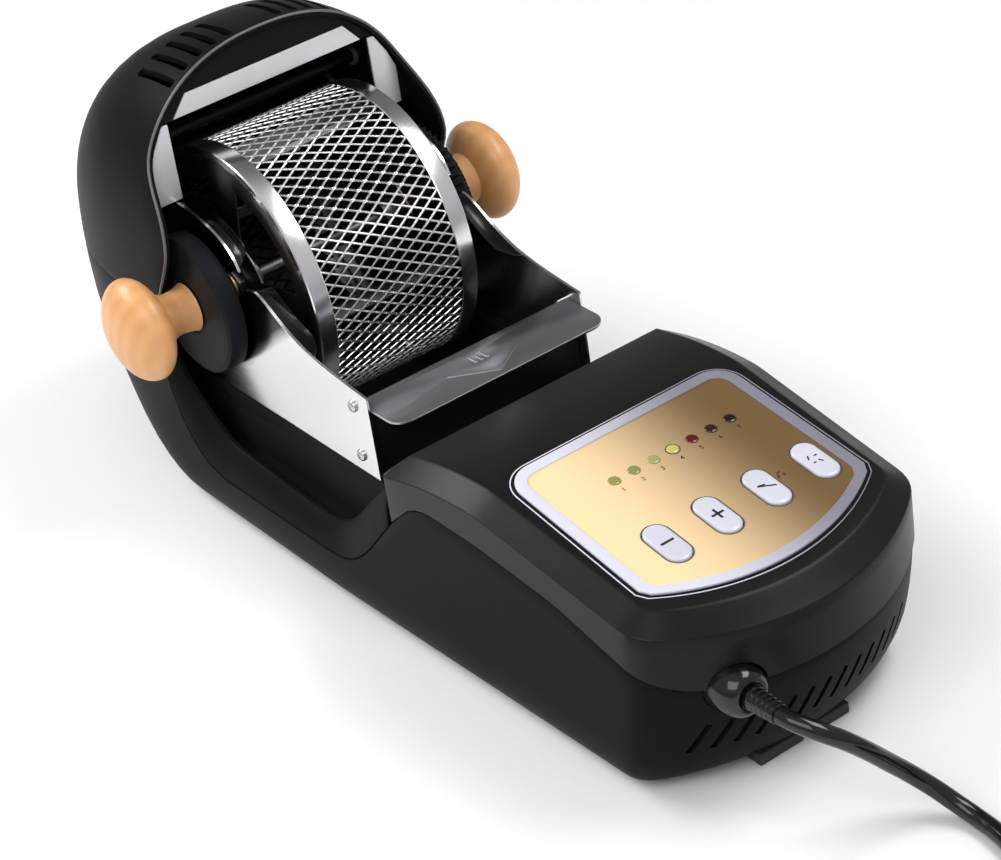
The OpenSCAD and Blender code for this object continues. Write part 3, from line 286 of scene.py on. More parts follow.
def moulding(name, colour, rough, grain, depth, sheen=0.035):
    """Spark-eroded plastic: a fine even grain, faint cloudiness and a little handling shine."""
    f = Finish(name)
    cloud = f.noise(0.02, 3.0)
    fine = f.noise(grain, 2.0)
    return f.set(Base_Color=f.mix(cloud, toned(colour, 0.85), toned(colour, 1.25)),
                 Roughness=(cloud - 0.5) * 0.12 + (fine - 0.5) * 0.1 + rough,
                 Normal=f.bump(fine, 0.3, depth), Specular_IOR_Level=sheen)


def gloss(name, colour, rough=0.16):
    """Polished plastic with the slight waviness of a moulding."""
    f = Finish(name)
    wave = f.noise(0.05, 1.0)
    return f.set(Base_Color=f.mix(wave, toned(colour, 0.92), toned(colour, 1.06)),
                 Roughness=(wave - 0.5) * 0.06 + rough, Normal=f.bump(wave, 0.12, 0.6), Coat_Weight=0.3)


def rolled_steel(name, colour, rough, stretch):
    """Sheet steel with rolling lines along one direction, thin scratches and soft smudges."""
    f = Finish(name)
    lines = f.noise(1.0, 3.0, f.scaled(*stretch))
    smudge = f.noise(0.045, 2.0)
    return f.set(Base_Color=f.mix(smudge, toned(colour, 0.93), colour), Metallic=1.0,
                 Roughness=(lines - 0.5) * 0.16 + (smudge - 0.5) * 0.08 + rough,
                 Normal=f.bump(lines, 0.12, 0.05))


def turned_steel(name, colour, rough):
    """Steel turned round the shaft: rings of tool marks."""
    f = Finish(name)
    marks = (f.radius() * 9.0).sine() * 0.5 + 0.5
    smudge = f.noise(0.08, 2.0)
    return f.set(Base_Color=f.mix(smudge, toned(colour, 0.9), colour), Metallic=1.0,
                 Roughness=marks * 0.05 + smudge * 0.1 + rough, Normal=f.bump(marks, 0.05, 0.02))


def plain_metal(name, colour, rough, metallic=1.0, mottle=0.12):
    """Cast or plated metal with mottled tone; the heater sheath's near-black colour is painted shade."""
    f = Finish(name)
    cloud = f.noise(0.12, 4.0)
    return f.set(Base_Color=f.mix(cloud, toned(colour, 1 - mottle), toned(colour, 1 + mottle)),
                 Metallic=metallic, Roughness=(cloud - 0.5) * 0.14 + rough,
                 Normal=f.bump(f.noise(2.5), 0.08, 0.05))


def turned_wood(name, light, dark):
    """Close-grained wood turned on a lathe: soft grain along X, growth bands, pores and an oiled sheen."""
    f = Finish(name)
    bent = f.noise(0.03, 2.0, f.scaled(0.25, 1, 1))
    band = (f.along("Y") * 0.62 + f.along("Z") * 0.28 + bent * 9.0).sine() * 0.5 + 0.5
    fibre = f.noise(1.0, 4.0, f.scaled(0.09, 1.3, 1.3))
    pores = (f.noise(1.0, 1.0, f.scaled(0.16, 3.2, 3.2)) - 0.62).clamped(0, 0.2) * 5.0
    grain = (band * 0.42 + fibre * 0.45).clamped()
    tone = f.mix(grain * 0.75, light, dark)
    return f.set(Base_Color=f.mix(pores * 0.35, tone, toned(dark, 0.55)), Roughness=fibre * 0.14 + 0.33,
                 Normal=f.bump(fibre - pores * 0.4, 0.16, 0.08), Coat_Weight=0.12)


def gilt(name, light, dark):
    """Satin lacquered sheet with a painted reflection: its tone falls away from left to right, as the room's
    light falls across it.
    """
    f = Finish(name)
    # Painted reflection: the tone goes from the light colour at the left to the dark one at the right.
    fall = f.along("X") * 0.0089 + 0.45
    share = f.add("ShaderNodeMapRange", {"interpolation_type": "SMOOTHSTEP"},
                  {"Value": fall, "From Min": 0.0, "From Max": 0.84})
    fine = f.noise(9.0, 2.0)
    lines = f.noise(1.0, 2.0, f.scaled(0.1, 4.0, 4.0))
    tone = f.mix(share, light, dark)
    return f.set(Base_Color=f.mix(fine * 0.06, tone, toned(light, 0.8)), Roughness=lines * 0.12 + 0.34,
                 Normal=f.bump(lines, 0.04, 0.03), Specular_IOR_Level=0.2)


def mesh_sheet(name, colour, inner_shade):
    """Expanded mesh, bright outside and near black inside: the inner face's dark colour is painted shade of
    the drum's inside.
    """
    f = Finish(name)
    # Painted shade: strands darken on their inner face, where the drum's inside lies in shade.
    outside = ((f.radius() - (STRAND_R - 0.2)) * 4.0).clamped()
    mottle = f.noise(0.3, 3.0)
    return f.set(Base_Color=f.mix(outside, inner_shade, f.mix(mottle, toned(colour, 0.9), colour)),
                 Metallic=1.0, Roughness=mottle * 0.12 + 0.2, Normal=f.bump(f.noise(2.5), 0.08, 0.05))


def plate_sheet(name, colour, dark):
    """Polished side plate, painted dark above a line that falls towards the back: a painted reflection of
    the dark disc in the steel.
    """
    f = Finish(name)
    lines = f.noise(1.0, 3.0, f.scaled(0.03, 0.03, 1.6))
    # Painted reflection: above this line the plate takes the dark colour, standing for the disc mirrored in
    # it.
    above = f.along("Z") + f.along("Y") * 0.7 + 45.9
    painted_reflection = ((above + f.noise(0.05, 1.0) * 6.0) / 9.0).clamped()
    return f.set(Base_Color=f.mix(painted_reflection, colour, dark), Metallic=1.0,
                 Roughness=(lines - 0.5) * 0.12 + 0.2, Normal=f.bump(lines, 0.08, 0.04))


def rubber(name, colour):
    """Matte rubber with a dusty bloom."""
    f = Finish(name)
    dust = f.noise(0.4, 4.0)
    return f.set(Base_Color=f.mix(dust, colour, tuple(c * 1.6 + 0.01 for c in colour)),
                 Roughness=dust * 0.15 + 0.75, Normal=f.bump(f.noise(6.0), 0.2, 0.1))


def sheath(name, colour):
    """Smooth glossy cord sheath with faint ripples along it."""
    f = Finish(name)
    ripple = f.noise(0.9, 1.0)
    return f.set(Base_Color=f.mix(ripple, colour, toned(colour, 1.5)), Roughness=ripple * 0.06 + 0.1,
                 Normal=f.bump(ripple, 0.05, 0.1), Specular_IOR_Level=0.5)


def woven(name, colour):
    """Woven strap with crossing threads."""
    f = Finish(name)
    across = (f.along("X") * 5.0).sine()
    weave = across * ((f.along("Y") + f.along("Z")) * 5.0).sine() * 0.5 + 0.5
    return f.set(Base_Color=f.mix(weave, toned(colour, 0.6), toned(colour, 1.5)),
                 Roughness=0.85, Normal=f.bump(weave, 0.5, 0.2))


def circuit(name, colour):
    """Varnished board with faint copper runs under the varnish."""
    f = Finish(name)
    rows = (f.along("Y") * 0.9 + f.noise(0.06) * 8).sine()
    runs = ((f.along("X") * 1.3).sine() * rows * 0.5 + 0.5 - 0.62).clamped(0, 0.08) * 12
    return f.set(Base_Color=f.mix(runs * 0.5, colour, toned(colour, 1.9)), Roughness=0.3,
                 Normal=f.bump(runs, 0.15, 0.05))


LENS_TINTS = [(0.28, 0.27, 0.07), (0.22, 0.27, 0.07), (0.33, 0.34, 0.12), (0.55, 0.45, 0.15),
              (0.10, 0.005, 0.005), (0.036, 0.006, 0.004), (0.012, 0.005, 0.004)]


def recipes():
    """Each finish's slot and maker with the maker's settings."""
    c = colours()
    shell, cover, button = tuple(c.shell), tuple(c.cover), tuple(c.button)
    table = {
        "shell_moulding": ("shell_black", moulding, shell, 0.42, 2.2, 0.06),
        "cover_moulding": ("cover_black", moulding, cover, 0.34, 2.6, 0.04, 0.16),
        "inner_moulding": ("inner_black", moulding, (0.009, 0.009, 0.0095), 0.55, 1.6, 0.1),
        # Painted highlight: a lighter grey for the bead that stands for the light along the hood's edge.
        "worn_edge": ("shell_black", moulding, (0.11, 0.11, 0.112), 0.3, 2.2, 0.02, 0.5),
        "disc_coat": ("disc_grey", moulding, (0.013, 0.0135, 0.0145), 0.34, 2.0, 0.03),
        "gear_moulding": ("gear_black", moulding, (0.012, 0.012, 0.013), 0.36, 2.0, 0.03),
        "cream_moulding": ("gear_cream", moulding, (0.6, 0.55, 0.44), 0.4, 1.5, 0.03),
        "cord_sheath": ("cord_black", sheath, (0.0035, 0.0035, 0.004)),
        "strap": ("tie_black", woven, (0.02, 0.02, 0.021)),
        "foot_rubber": ("foot_rubber", rubber, (0.02, 0.02, 0.02)),
        # Side plates: bright steel, with the dark colour as a painted reflection of the disc.
        "plate_sheet": ("chamber_steel", plate_sheet, (0.83, 0.83, 0.84), (0.03, 0.03, 0.031)),
        "flange_sheet": ("chamber_steel", plain_metal, (0.64, 0.64, 0.65), 0.4, 0.25, 0.05),
        "lip_sheet": ("chamber_steel", rolled_steel, (0.42, 0.42, 0.43), 0.34, (0.02, 1.2, 1.2)),
        "vane_sheet": ("chamber_steel", rolled_steel, (0.34, 0.34, 0.34), 0.3, (0.03, 1.2, 1.2)),
        # Painted shade: the folds are the plates' steel, given a near-black colour.
        "fold_steel": ("chamber_steel", rolled_steel, (0.05, 0.05, 0.052), 0.16, (0.03, 0.03, 1.6)),
        # Painted shade: the chamber wall and tray are steel given a near-black colour.
        "dull_sheet": ("dull_steel", rolled_steel, (0.07, 0.068, 0.066), 0.45, (0.03, 0.03, 1.0)),
        # Painted shade: heater rods and their insulators made near black where they sit in the chamber's
        # shade.
        "heater_sheath": ("heater_sheath", plain_metal, (0.022, 0.02, 0.019), 0.5, 1.0, 0.3),
        "ceramic": ("ceramic", gloss, (0.06, 0.056, 0.05), 0.4),
        "rim_steel": ("bright_steel", turned_steel, (0.86, 0.86, 0.87), 0.12),
        "shaft_steel": ("bright_steel", turned_steel, (0.09, 0.09, 0.092), 0.2),
        "end_plate_coat": ("dark_steel", turned_steel, (0.16, 0.16, 0.165), 0.24),
        # The second colour is painted shade on the strands' inner faces.
        "mesh_steel": ("mesh_steel", mesh_sheet, (0.86, 0.86, 0.87), (0.012, 0.011, 0.010)),
        "pin_plate": ("bright_steel", plain_metal, (0.78, 0.76, 0.72), 0.2),
        "screw_plate": ("screw_steel", plain_metal, (0.6, 0.6, 0.6), 0.28),
        "bush_brass": ("bush_brass", turned_steel, (0.72, 0.52, 0.26), 0.25),
        "motor_can": (None, plain_metal, (0.5, 0.5, 0.5), 0.32),
        "oiled_wood": ("knob_wood", turned_wood, tuple(c.wood), tuple(c.wood_dark)),
        # Fascia: its gradient is a painted reflection.
        "gilt_sheet": ("fascia_gold", gilt, tuple(c.gold_lit_end), tuple(c.gold_shaded_end)),
        # Bezel: its gradient is a painted reflection.
        "bezel_paint": ("bezel_silver", gilt, tuple(c.silver), tuple(c.silver_shaded_end)),
        # Painted shade: the dark ring round each button.
        "seat_grey": ("bezel_silver", plain_metal, (0.10, 0.09, 0.11), 0.4, 0.2),
        "button_cap": ("button_white", gloss, button, 0.22),
        "ink": ("button_white", plain_metal, (0.012, 0.012, 0.014), 0.45, 0.0),
        "green_board": (None, circuit, (0.01, 0.12, 0.04)),
        "brown_board": (None, circuit, (0.22, 0.12, 0.04)),
        "component_cases": (None, gloss, (0.03, 0.05, 0.10), 0.3),
    }
    for k, tint in enumerate(LENS_TINTS):
        table["lens_%d" % (k + 1)] = ("lamp_lens", gloss, tint, 0.14)
    return table


FINISHES = {}


def finish(name):
    """The material of a finish, made at its first use, and its slot."""
    if name not in FINISHES:
        slot, maker, *settings = recipes()[name]
        FINISHES[name] = (maker(name, *settings), slot)
    return FINISHES[name]


# ---------------------------------------------------------------- meshes

def linked(name, data):
    """A new object in the scene."""
    item = bpy.data.objects.new(name, data)
    bpy.context.scene.collection.objects.link(item)
    return item


def keep(name, mesh, finish_name, *replaced, body="housing", smooth=38, slot=None):
    """Gives a finished piece its material and lets it ride on its body."""
    mesh.name = name
    piece = linked(name, mesh)
    material, own_slot = finish(finish_name)
    mesh.materials.clear()
    mesh.materials.append(material)
    for face in mesh.polygons:
        face.material_index = 0
    mesh.shade_smooth()
    mesh.set_sharp_from_angle(angle=radians(smooth))
    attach(piece, body)
    if replaced:
        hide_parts(*replaced)
    return piece


def merged(mesh, reach):
    """Merges points nearer than the reach and turns the faces outward."""
    shape = bmesh.new()
    shape.from_mesh(mesh)
    bmesh.ops.remove_doubles(shape, verts=shape.verts, dist=reach)
    bmesh.ops.recalc_face_normals(shape, faces=shape.faces)
    shape.to_mesh(mesh)
    shape.free()
    return mesh


def mesh_of(points, faces, merge=0.0):
    """A mesh from points in millimetres about the drum's axis, its doubles merged and faces outward."""
    mesh = bpy.data.meshes.new("piece")
    mesh.from_pydata([at(*p) for p in points], [], faces)
    return merged(mesh, max(merge, 0.002) * MM)


def as_mesh(carrier):
    """What an object evaluates to, as a plain mesh; the object itself goes."""
    bpy.context.view_layer.update()
    graph = bpy.context.evaluated_depsgraph_get()
    result = bpy.data.meshes.new_from_object(carrier.evaluated_get(graph), depsgraph=graph)
    bpy.data.objects.remove(carrier)
    return result


def evaluated(mesh, kind, **settings):
    """The mesh after one modifier."""
    carrier = linked("carrier", mesh)
    modifier = carrier.modifiers.new(kind.title(), kind)
    for name, value in settings.items():
        setattr(modifier, name, value)
    return as_mesh(carrier)


def edged(mesh, width, segments=2, angle=32):
    """Rounds the mesh's sharp edges."""
    return evaluated(mesh, "BEVEL", width=width * MM, segments=segments, limit_method="ANGLE",
                     angle_limit=radians(angle))


def grid(rows, closed=True, caps=False):
    """Points and faces through rows of equal length; closed joins each row's ends."""
    count = len(rows[0])
    points = [p for row in rows for p in row]
    span = count if closed else count - 1
    faces = []
    for start in range(0, (len(rows) - 1) * count, count):
        for k in range(span):
            a, b = start + k, start + (k + 1) % count
            faces.append((a, b, b + count, a + count))
    if caps:
        faces.append(tuple(range(count - 1, -1, -1)))
        faces.append(tuple(range((len(rows) - 1) * count, len(rows) * count)))
    return points, faces


def lathe(profile, segments, side):
    """A turned form about the X axis from (x, radius) pairs, closed on itself or on the axis."""
    turns = [2 * pi * k / segments for k in range(segments)]
    return mesh_of(*grid([[(side * x, r * cos(a), r * sin(a)) for a in turns] for x, r in profile]))


def slab(outline, low, high, plane):
    """A flat form: the outline's points go through plane(u, v, level) at two levels."""
    count = len(outline)
    points = [plane(u, v, low) for u, v in outline] + [plane(u, v, high) for u, v in outline]
    faces = [tuple(range(count)), tuple(range(2 * count - 1, count - 1, -1))]
    faces += [(k, k + count, (k + 1) % count + count, (k + 1) % count) for k in range(count)]
    return mesh_of(points, faces)


def joined(meshes):
    """Several meshes as one."""
    shape = bmesh.new()
    for mesh in meshes:
        shape.from_mesh(mesh)
    result = bpy.data.meshes.new("joined")
    shape.to_mesh(result)
    shape.free()
    return result


def across_x(u, v, level):
    return (level, u, v)


def across_y(u, v, level):
    return (u, level, v)


def across_z(u, v, level):
    return (u, v, level)


DECK_RIDGE, DECK_DROP, DECK_TILT = -245.0, -4.5, radians(9)


def on_deck(u, v, level):
    """Deck coordinates: u to the right, v up the slope from the ridge, level off the surface."""
    return (u, DECK_RIDGE + v * cos(DECK_TILT) - level * sin(DECK_TILT),
            DECK_DROP + v * sin(DECK_TILT) + level * cos(DECK_TILT))


def dressed(node, width, segments=2, angle=32):
    """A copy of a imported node's mesh with its doubles merged and its edges rounded."""
    mesh = frame["nodes"][node].data.copy()
    shape = bmesh.new()
    shape.from_mesh(mesh)
    bmesh.ops.remove_doubles(shape, verts=shape.verts, dist=2e-6)
    bmesh.ops.dissolve_limit(shape, angle_limit=radians(2), verts=shape.verts, edges=shape.edges)
    shape.to_mesh(mesh)
    shape.free()
    return edged(mesh, width, segments, angle)


def dress(finish_name, width, *nodes):
    """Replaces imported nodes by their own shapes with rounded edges."""
    return [keep(node + "_dressed", dressed(node, width), finish_name, node, body=BODY_OF[node])
            for node in nodes]


# ---------------------------------------------------------------- geometry node trees

class Growth(Graph):
    """A geometry tree with named inputs, run once on a carrier mesh."""

    def __init__(self, name, inputs):
        tree = bpy.data.node_groups.new(name, "GeometryNodeTree")
        super().__init__(tree)
        tree.interface.new_socket("Geometry", in_out="INPUT", socket_type="NodeSocketGeometry")
        for label, (kind, _) in inputs.items():
            tree.interface.new_socket(label, in_out="INPUT", socket_type="NodeSocket" + kind)
        tree.interface.new_socket("Geometry", in_out="OUTPUT", socket_type="NodeSocketGeometry")
        self.inputs = inputs
        self.entry = tree.nodes.new("NodeGroupInput")
        self.exit = tree.nodes.new("NodeGroupOutput")

    def given(self, label):
        return Wire(self, self.entry.outputs[label])

    def give(self, geometry, material):
        real = self.add("GeometryNodeRealizeInstances", None, {0: geometry})
        done = self.add("GeometryNodeSetMaterial", None, {0: real, "Material": material})
        self.tree.links.new(done.socket, self.exit.inputs[0])

    def run(self, mesh):
        carrier = linked("carrier", mesh)
        modifier = carrier.modifiers.new("Growth", "NODES")
        modifier.node_group = self.tree
        names = {s.name: s.identifier for s in self.tree.interface.items_tree if s.in_out == "INPUT"}
        for label, (_, value) in self.inputs.items():
            modifier[names[label]] = value
        return as_mesh(carrier)

    def placed(self, points):
        """The unit put on points, turned by their attribute."""
        unit = self.add("GeometryNodeObjectInfo", {"transform_space": "ORIGINAL"},
                        {"Object": self.given("Unit")}, "Geometry")
        turn = self.add("GeometryNodeInputNamedAttribute", {"data_type": "FLOAT_VECTOR"}, {"Name": "turn"})
        placed = self.add("GeometryNodeInstanceOnPoints", None,
                          {"Points": points, "Instance": unit, "Rotation": turn})
        self.give(placed, self.given("Finish"))


def centred(points, faces):
    """A mesh in metres about zero from millimetre points, for instancing."""
    mesh = bpy.data.meshes.new("unit")
    mesh.from_pydata([Vector(p) * MM for p in points], [], faces)
    return mesh


def block(x, y, z, turn=0.0, twist=0.0):
    """A box centred on zero, turned about Z after being twisted about X."""
    signs = (-1, 1)
    points = [Vector((sx * x / 2, sy * y / 2, sz * z / 2)) for sx in signs for sy in signs for sz in signs]
    turned = Matrix.Rotation(turn, 3, "Z") @ Matrix.Rotation(twist, 3, "X")
    faces = [(0, 1, 3, 2), (4, 6, 7, 5), (0, 4, 5, 1), (2, 3, 7, 6), (0, 2, 6, 4), (1, 5, 7, 3)]
    return [turned @ p for p in points], faces


def repeated(name, unit, places, turns, finish_name):
    """Geometry nodes put the unit at each place, in mm about the drum's axis, turned as told."""
    holder = bpy.data.meshes.new("places")
    holder.from_pydata([at(*p) for p in places], [], [])
    attribute = holder.attributes.new("turn", "FLOAT_VECTOR", "POINT")
    for item, turn in zip(attribute.data, turns):
        item.vector = turn
    pattern = linked("pattern", unit)
    tree = Growth(name, {"Unit": ("Object", pattern), "Finish": ("Material", finish(finish_name)[0])})
    tree.placed(tree.given("Geometry"))
    result = tree.run(holder)
    bpy.data.objects.remove(pattern)
    return result


def cut_by(mesh, cutters, own=False):
    """The mesh less the cutters, by an exact boolean; own is told when the cutters cross each other."""
    tool = linked("tool", cutters)
    result = evaluated(mesh, "BOOLEAN", operation="DIFFERENCE", solver="EXACT", object=tool, use_self=own)
    bpy.data.objects.remove(tool)
    return result


# ---------------------------------------------------------------- body forms

# Half widths at the drum and at the front, the front's tip, and where the sides start to narrow.
HALF_WIDTH, FRONT_HALF, FRONT, TAPER = 88.0, 82.0, -386.0, -110.0
# Radius of the front's bow, the hood's mouth, the dome's foot and crown, and its reach behind the mouth.
FRONT_R, MOUTH, DOME_Z, CROWN, BACK = 122.0, 16.0, 16.0, 122.0, 144.0
# Level and depth of the back's bulge, roundness from the front and from above, the underside, the wall.
BULGE_Z, DEPTH, POWER, PLAN, LOW, WALL = -20.0, 110.0, 2.4, 2.7, -120.0, 3.0
# How far the front runs in under the deck, below which level and from which place on.
RAKE, RAKE_TOP, RAKE_FROM = 20.0, -34.0, -205.0
PARTING = -5.0  # level of the hood's lower edge
COVER_BACK = -173.0
FRONT_CENTRE = FRONT + FRONT_R
CORNER = FRONT_CENTRE - sqrt(FRONT_R ** 2 - FRONT_HALF ** 2)
CORNER_REACH = 10.0
TUB_GAP, LID_GAP = 0.2, 0.35  # how far the tub lies under the seam, and the cover and rails over it

# Along Y: the level of the tub's seam, the level of the rails' ridge, and how far the ridge lies inside.
SEAM = [(-386, -63), (-370, -62), (CORNER, -52), (-300, -37), (-245, -30.5), (-204, -29), (-189, -36),
        (-170, -55), (-152, -75), (-140, -86), (-127, -92), (-18, -93), (-1, -89), (14, -74), (22, -56),
        (25, -45), (28, -5), (142, -5)]
RIDGE = [(-190, -21), (-179, -26), (-164, -38), (-150, -51), (-138, -63), (-126, -73), (-115, -78),
         (-100, -80), (-20, -76), (-8, -72), (6, -60), (17, -42), (24, -20), (27, -6)]
RIDGE_IN = [(-190, 3), (-160, 4.5), (-120, 9), (0, 9), (24, 4)]


def lookup(table, y):
    """The table's value, on straight lines between its rows."""
    if y <= table[0][0]:
        return table[0][1]
    for (a, p), (b, q) in zip(table, table[1:]):
        if y <= b:
            return p + (q - p) * (y - a) / (b - a)
    return table[-1][1]


def eased(table, y, reach=4.0):
    """A table's value with its corners rounded."""
    return sum(lookup(table, y + reach * k / 2) for k in range(-2, 3)) / 5


def seam_z(y):
    """The level of the seam between the tub and the casings above it."""
    return eased(SEAM, y, 3.0 if y > -60 else 7.0)


def wall_x(y):
    """Half the body's width."""
    share = max(0.0, (TAPER - y) / (TAPER - CORNER))
    return HALF_WIDTH - (HALF_WIDTH - FRONT_HALF) * share


def front_y(x, inset=0.0):
    """The bowed front."""
    return FRONT_CENTRE + inset - sqrt(FRONT_R ** 2 - x * x)


def dome_half(z, tuck=0.0):
    """Half the hood's width at a height."""
    s = min(1.0, max(0.0, (z - DOME_Z) / (CROWN - tuck - DOME_Z)))
    return (HALF_WIDTH - tuck) * (1 - s ** POWER) ** (1 / POWER)


def dome_back(z):
    """How far the body reaches behind the mouth at a height."""
    s = min(1.0, (z - BULGE_Z) / (CROWN - BULGE_Z) if z > BULGE_Z else (BULGE_Z - z) / DEPTH)
    return BACK * sqrt(max(0.0, 1 - s * s))


def side_run(back, front, step):
    """Even stops from back to front, no further apart than the step."""
    count = ceil((back - front) / step)
    return [back + (front - back) * k / count for k in range(count + 1)]


def corner_curve(inset, share, z):
    """The rounded front corner, from the side wall to the bowed front."""
    y0 = CORNER + CORNER_REACH
    start = (wall_x(y0) - inset, y0)
    tip = (FRONT_HALF - inset, front_y(FRONT_HALF - inset, inset))
    x1 = FRONT_HALF - inset - CORNER_REACH * 0.75
    end = (x1, front_y(x1, inset))
    a, b, c = (1 - share) ** 2, 2 * share * (1 - share), share ** 2
    return (a * start[0] + b * tip[0] + c * end[0], a * start[1] + b * tip[1] + c * end[1], z)


def front_run():
    """Stops along the bowed front, from the corner to the middle."""
    return [(FRONT_HALF - CORNER_REACH * 0.75) * (1 - k / 14) for k in range(1, 15)]


def mirrored(half):
    """A closed ring from its right half, which starts and ends on the middle line."""
    return list(half) + [(-x, y, z) for x, y, z in reversed(half[1:-1])]


BACK_TURNS = [radians(a) for a in [*range(0, 73, 4), 75.5, 78.5, 81, 83, 84.8, 86, 87, 87.8, 88.5, 89.1]]


def raked(x, y, z):
    """The front runs in under the deck."""
    down, fore = max(0.0, (RAKE_TOP - z) / (RAKE_TOP - LOW)), max(0.0, RAKE_FROM - y)
    return (x, y + RAKE * down ** 2 * fore / (RAKE_FROM - FRONT), z)


def tub_half(height, inset_at):
    """Half ring of the tub: height(seam) gives the level and inset_at(level) the inset."""
    half = []
    for turn in BACK_TURNS:
        y = MOUTH + dome_back(PARTING) * cos(turn) ** (2 / PLAN)
        z = height(seam_z(y))
        inset = inset_at(z)
        half.append(((HALF_WIDTH - inset) * sin(turn) ** (2 / PLAN),
                     MOUTH + (dome_back(z) - inset) * cos(turn) ** (2 / PLAN), z))
    for y in side_run(17.0, CORNER + CORNER_REACH, 5.0):
        z = height(seam_z(y))
        half.append((wall_x(y) - inset_at(z), y, z))
    for k in range(1, 7):
        nominal = corner_curve(0, k / 6, 0)
        z = height(seam_z(nominal[1]))
        half.append(corner_curve(inset_at(z), k / 6, z))
    for x in front_run():
        z = height(seam_z(front_y(x)))
        inset = inset_at(z)
        x = x * (FRONT_HALF - inset) / FRONT_HALF
        half.append((x, front_y(x, inset), z))
    return [raked(*p) for p in half]


def foot_round(z, rise=24.0, tuck=7.0):
    """How far the tub's foot is drawn in at a height."""
    h = z - LOW
    return tuck * (1 - sqrt(1 - ((rise - h) / rise) ** 2)) if h < rise else 0.0


def tub_mesh():
    """The tub: from its underside up to the seam, over the wall and down inside."""
    rows = []
    for share in [0, 0.01, 0.03, 0.06, 0.1, 0.15, 0.22, 0.3, 0.45, 0.6, 0.75, 0.9, 0.975]:
        rows.append(mirrored(tub_half(lambda s: LOW + (s - TUB_GAP - LOW) * share, foot_round)))
    rows.append(mirrored(tub_half(lambda s: s - TUB_GAP, lambda z: foot_round(z) + 0.6)))
    for share in [1, 0.5, 0.2, 0]:
        rows.append(mirrored(tub_half(lambda s: LOW + WALL + (s - TUB_GAP - LOW - WALL) * share,
                                      lambda z: foot_round(max(LOW + WALL, z)) + WALL)))
    return mesh_of(*grid(rows, True, True))


def vent_cutters():
    """The row of leaning slots in the tub's front."""
    pitch, level, lean = 9.9, -91.0, Matrix.Rotation(radians(24), 3, "Y")
    cutters = []
    for k in range(-6, 7):
        centre = Vector((pitch * k, FRONT + 22, level))
        points, faces = block(3.0, 80, 17.5)
        cutters.append(mesh_of([tuple(lean @ p + centre) for p in points], faces))
    return joined(cutters)


def ring_points(radius, side, up, segments):
    """Offsets round a circle that two directions span."""
    turns = [2 * pi * k / segments for k in range(segments)]
    return [radius * (cos(a) * side + sin(a) * up) for a in turns]


def cylinder_mesh(start, end, radius, segments=48):
    """A capped cylinder between two points in mm."""
    start, end = Vector(start), Vector(end)
    along = (end - start).normalized()
    side = along.orthogonal().normalized()
    up = along.cross(side)
    ring = ring_points(radius, side, up, segments)
    return mesh_of(*grid([[tuple(p + q) for q in ring] for p in (start, end)], True, True))


def tube_mesh(line, radius, segments=10):
    """A tube of even thickness along a line of points."""
    rows = []
    for k, place in enumerate(line):
        before, after = Vector(line[max(0, k - 1)]), Vector(line[min(len(line) - 1, k + 1)])
        along = (after - before).normalized()
        side = along.cross(Vector((0, 1, 0))).normalized()
        ring = ring_points(radius, side, side.cross(along), segments)
        rows.append([tuple(Vector(place) + q) for q in ring])
    return mesh_of(*grid(rows, True, True))


GLAND = (-46.0, front_y(46.0), -63.0)
BOSS_R = 13.0


def boss_cutter():
    """The hole for the cord's boss."""
    x, y, z = GLAND
    return cylinder_mesh((x, y + 20, z), (x, y - 20, z), BOSS_R + 0.2)


# By height: where the hood's edge lies along Y.
RIM = [(-5, 18), (2, 14.5), (10, 9.5), (18, 4.5), (26, -1), (34, -4.5), (42, -5), (50, -3), (57, 0),
       (64, 5.5), (71, 12), (78, 15), (90, 15), (123, 15)]
# Turns up the dome, in degrees, at which the hood has a ring of points.
RISES = [*range(0, 40, 3), 45, 51, 57, 63, 69, 74, 79, 83, 86, 88, 89.3, 90]


def rim_y(z):
    """Where the hood's edge lies at a height: it comes forward in the two cheeks."""
    return min(MOUTH, eased(RIM, z, 8.0))


def hood_mesh():
    """The hood: open rings up the dome, given a wall."""
    rows = []
    levels = [PARTING + 0.3, PARTING + 1.2, 0.0, 4.0, 8.0, 12.0]
    levels += [DOME_Z + (CROWN - DOME_Z) * sin(radians(a)) for a in RISES]
    turns = BACK_TURNS[::-1]
    for index, z in enumerate(levels):
        w, b = dome_half(z), dome_back(z)
        if index == 0:
            w, b = w - 0.6, b - 0.6
        edge = rim_y(z)
        half = [(w, edge, z), (w, MOUTH, z)]
        half += [(w * sin(t) ** (2 / PLAN), MOUTH + b * cos(t) ** (2 / PLAN), z) for t in turns]
        rows.append(half + [(-x, y, zz) for x, y, zz in reversed(half[:-1])])
    mesh = mesh_of(*grid(rows, False), merge=0.01)
    solid = evaluated(mesh, "SOLIDIFY", thickness=WALL * MM, offset=-1.0, use_even_offset=True,
                      use_rim=True)
    return edged(solid, 0.8, 3, 50)


def hood_cutters():
    """Five slots on each side of the crown and two shallow pockets inside each cheek."""
    first, pitch, width, run = 15, 9.2, 4.2, 34.0
    cutters = []
    for side in (-1, 1):
        for k in range(5):
            outline = moved(pill_outline(width, run, 0.0, 8), side * (first + pitch * k), MOUTH + 20)
            cutters.append(slab(outline, CROWN - 55, CROWN + 10, across_z))
        for y, z, size in ((9.5, 52.0, (4.4, 8.5, 5.5)), (1.8, 38.0, (4.4, 3.6, 8.0))):
            x = side * (dome_half(z) - WALL)
            points, faces = block(*size)
            cutters.append(mesh_of([(p.x + x, p.y + y, p.z + z) for p in points], faces))
    return joined(cutters)


def deck_z(y):
    """The level of the panel's slope."""
    return DECK_DROP - (DECK_RIDGE - y) * tan(DECK_TILT)


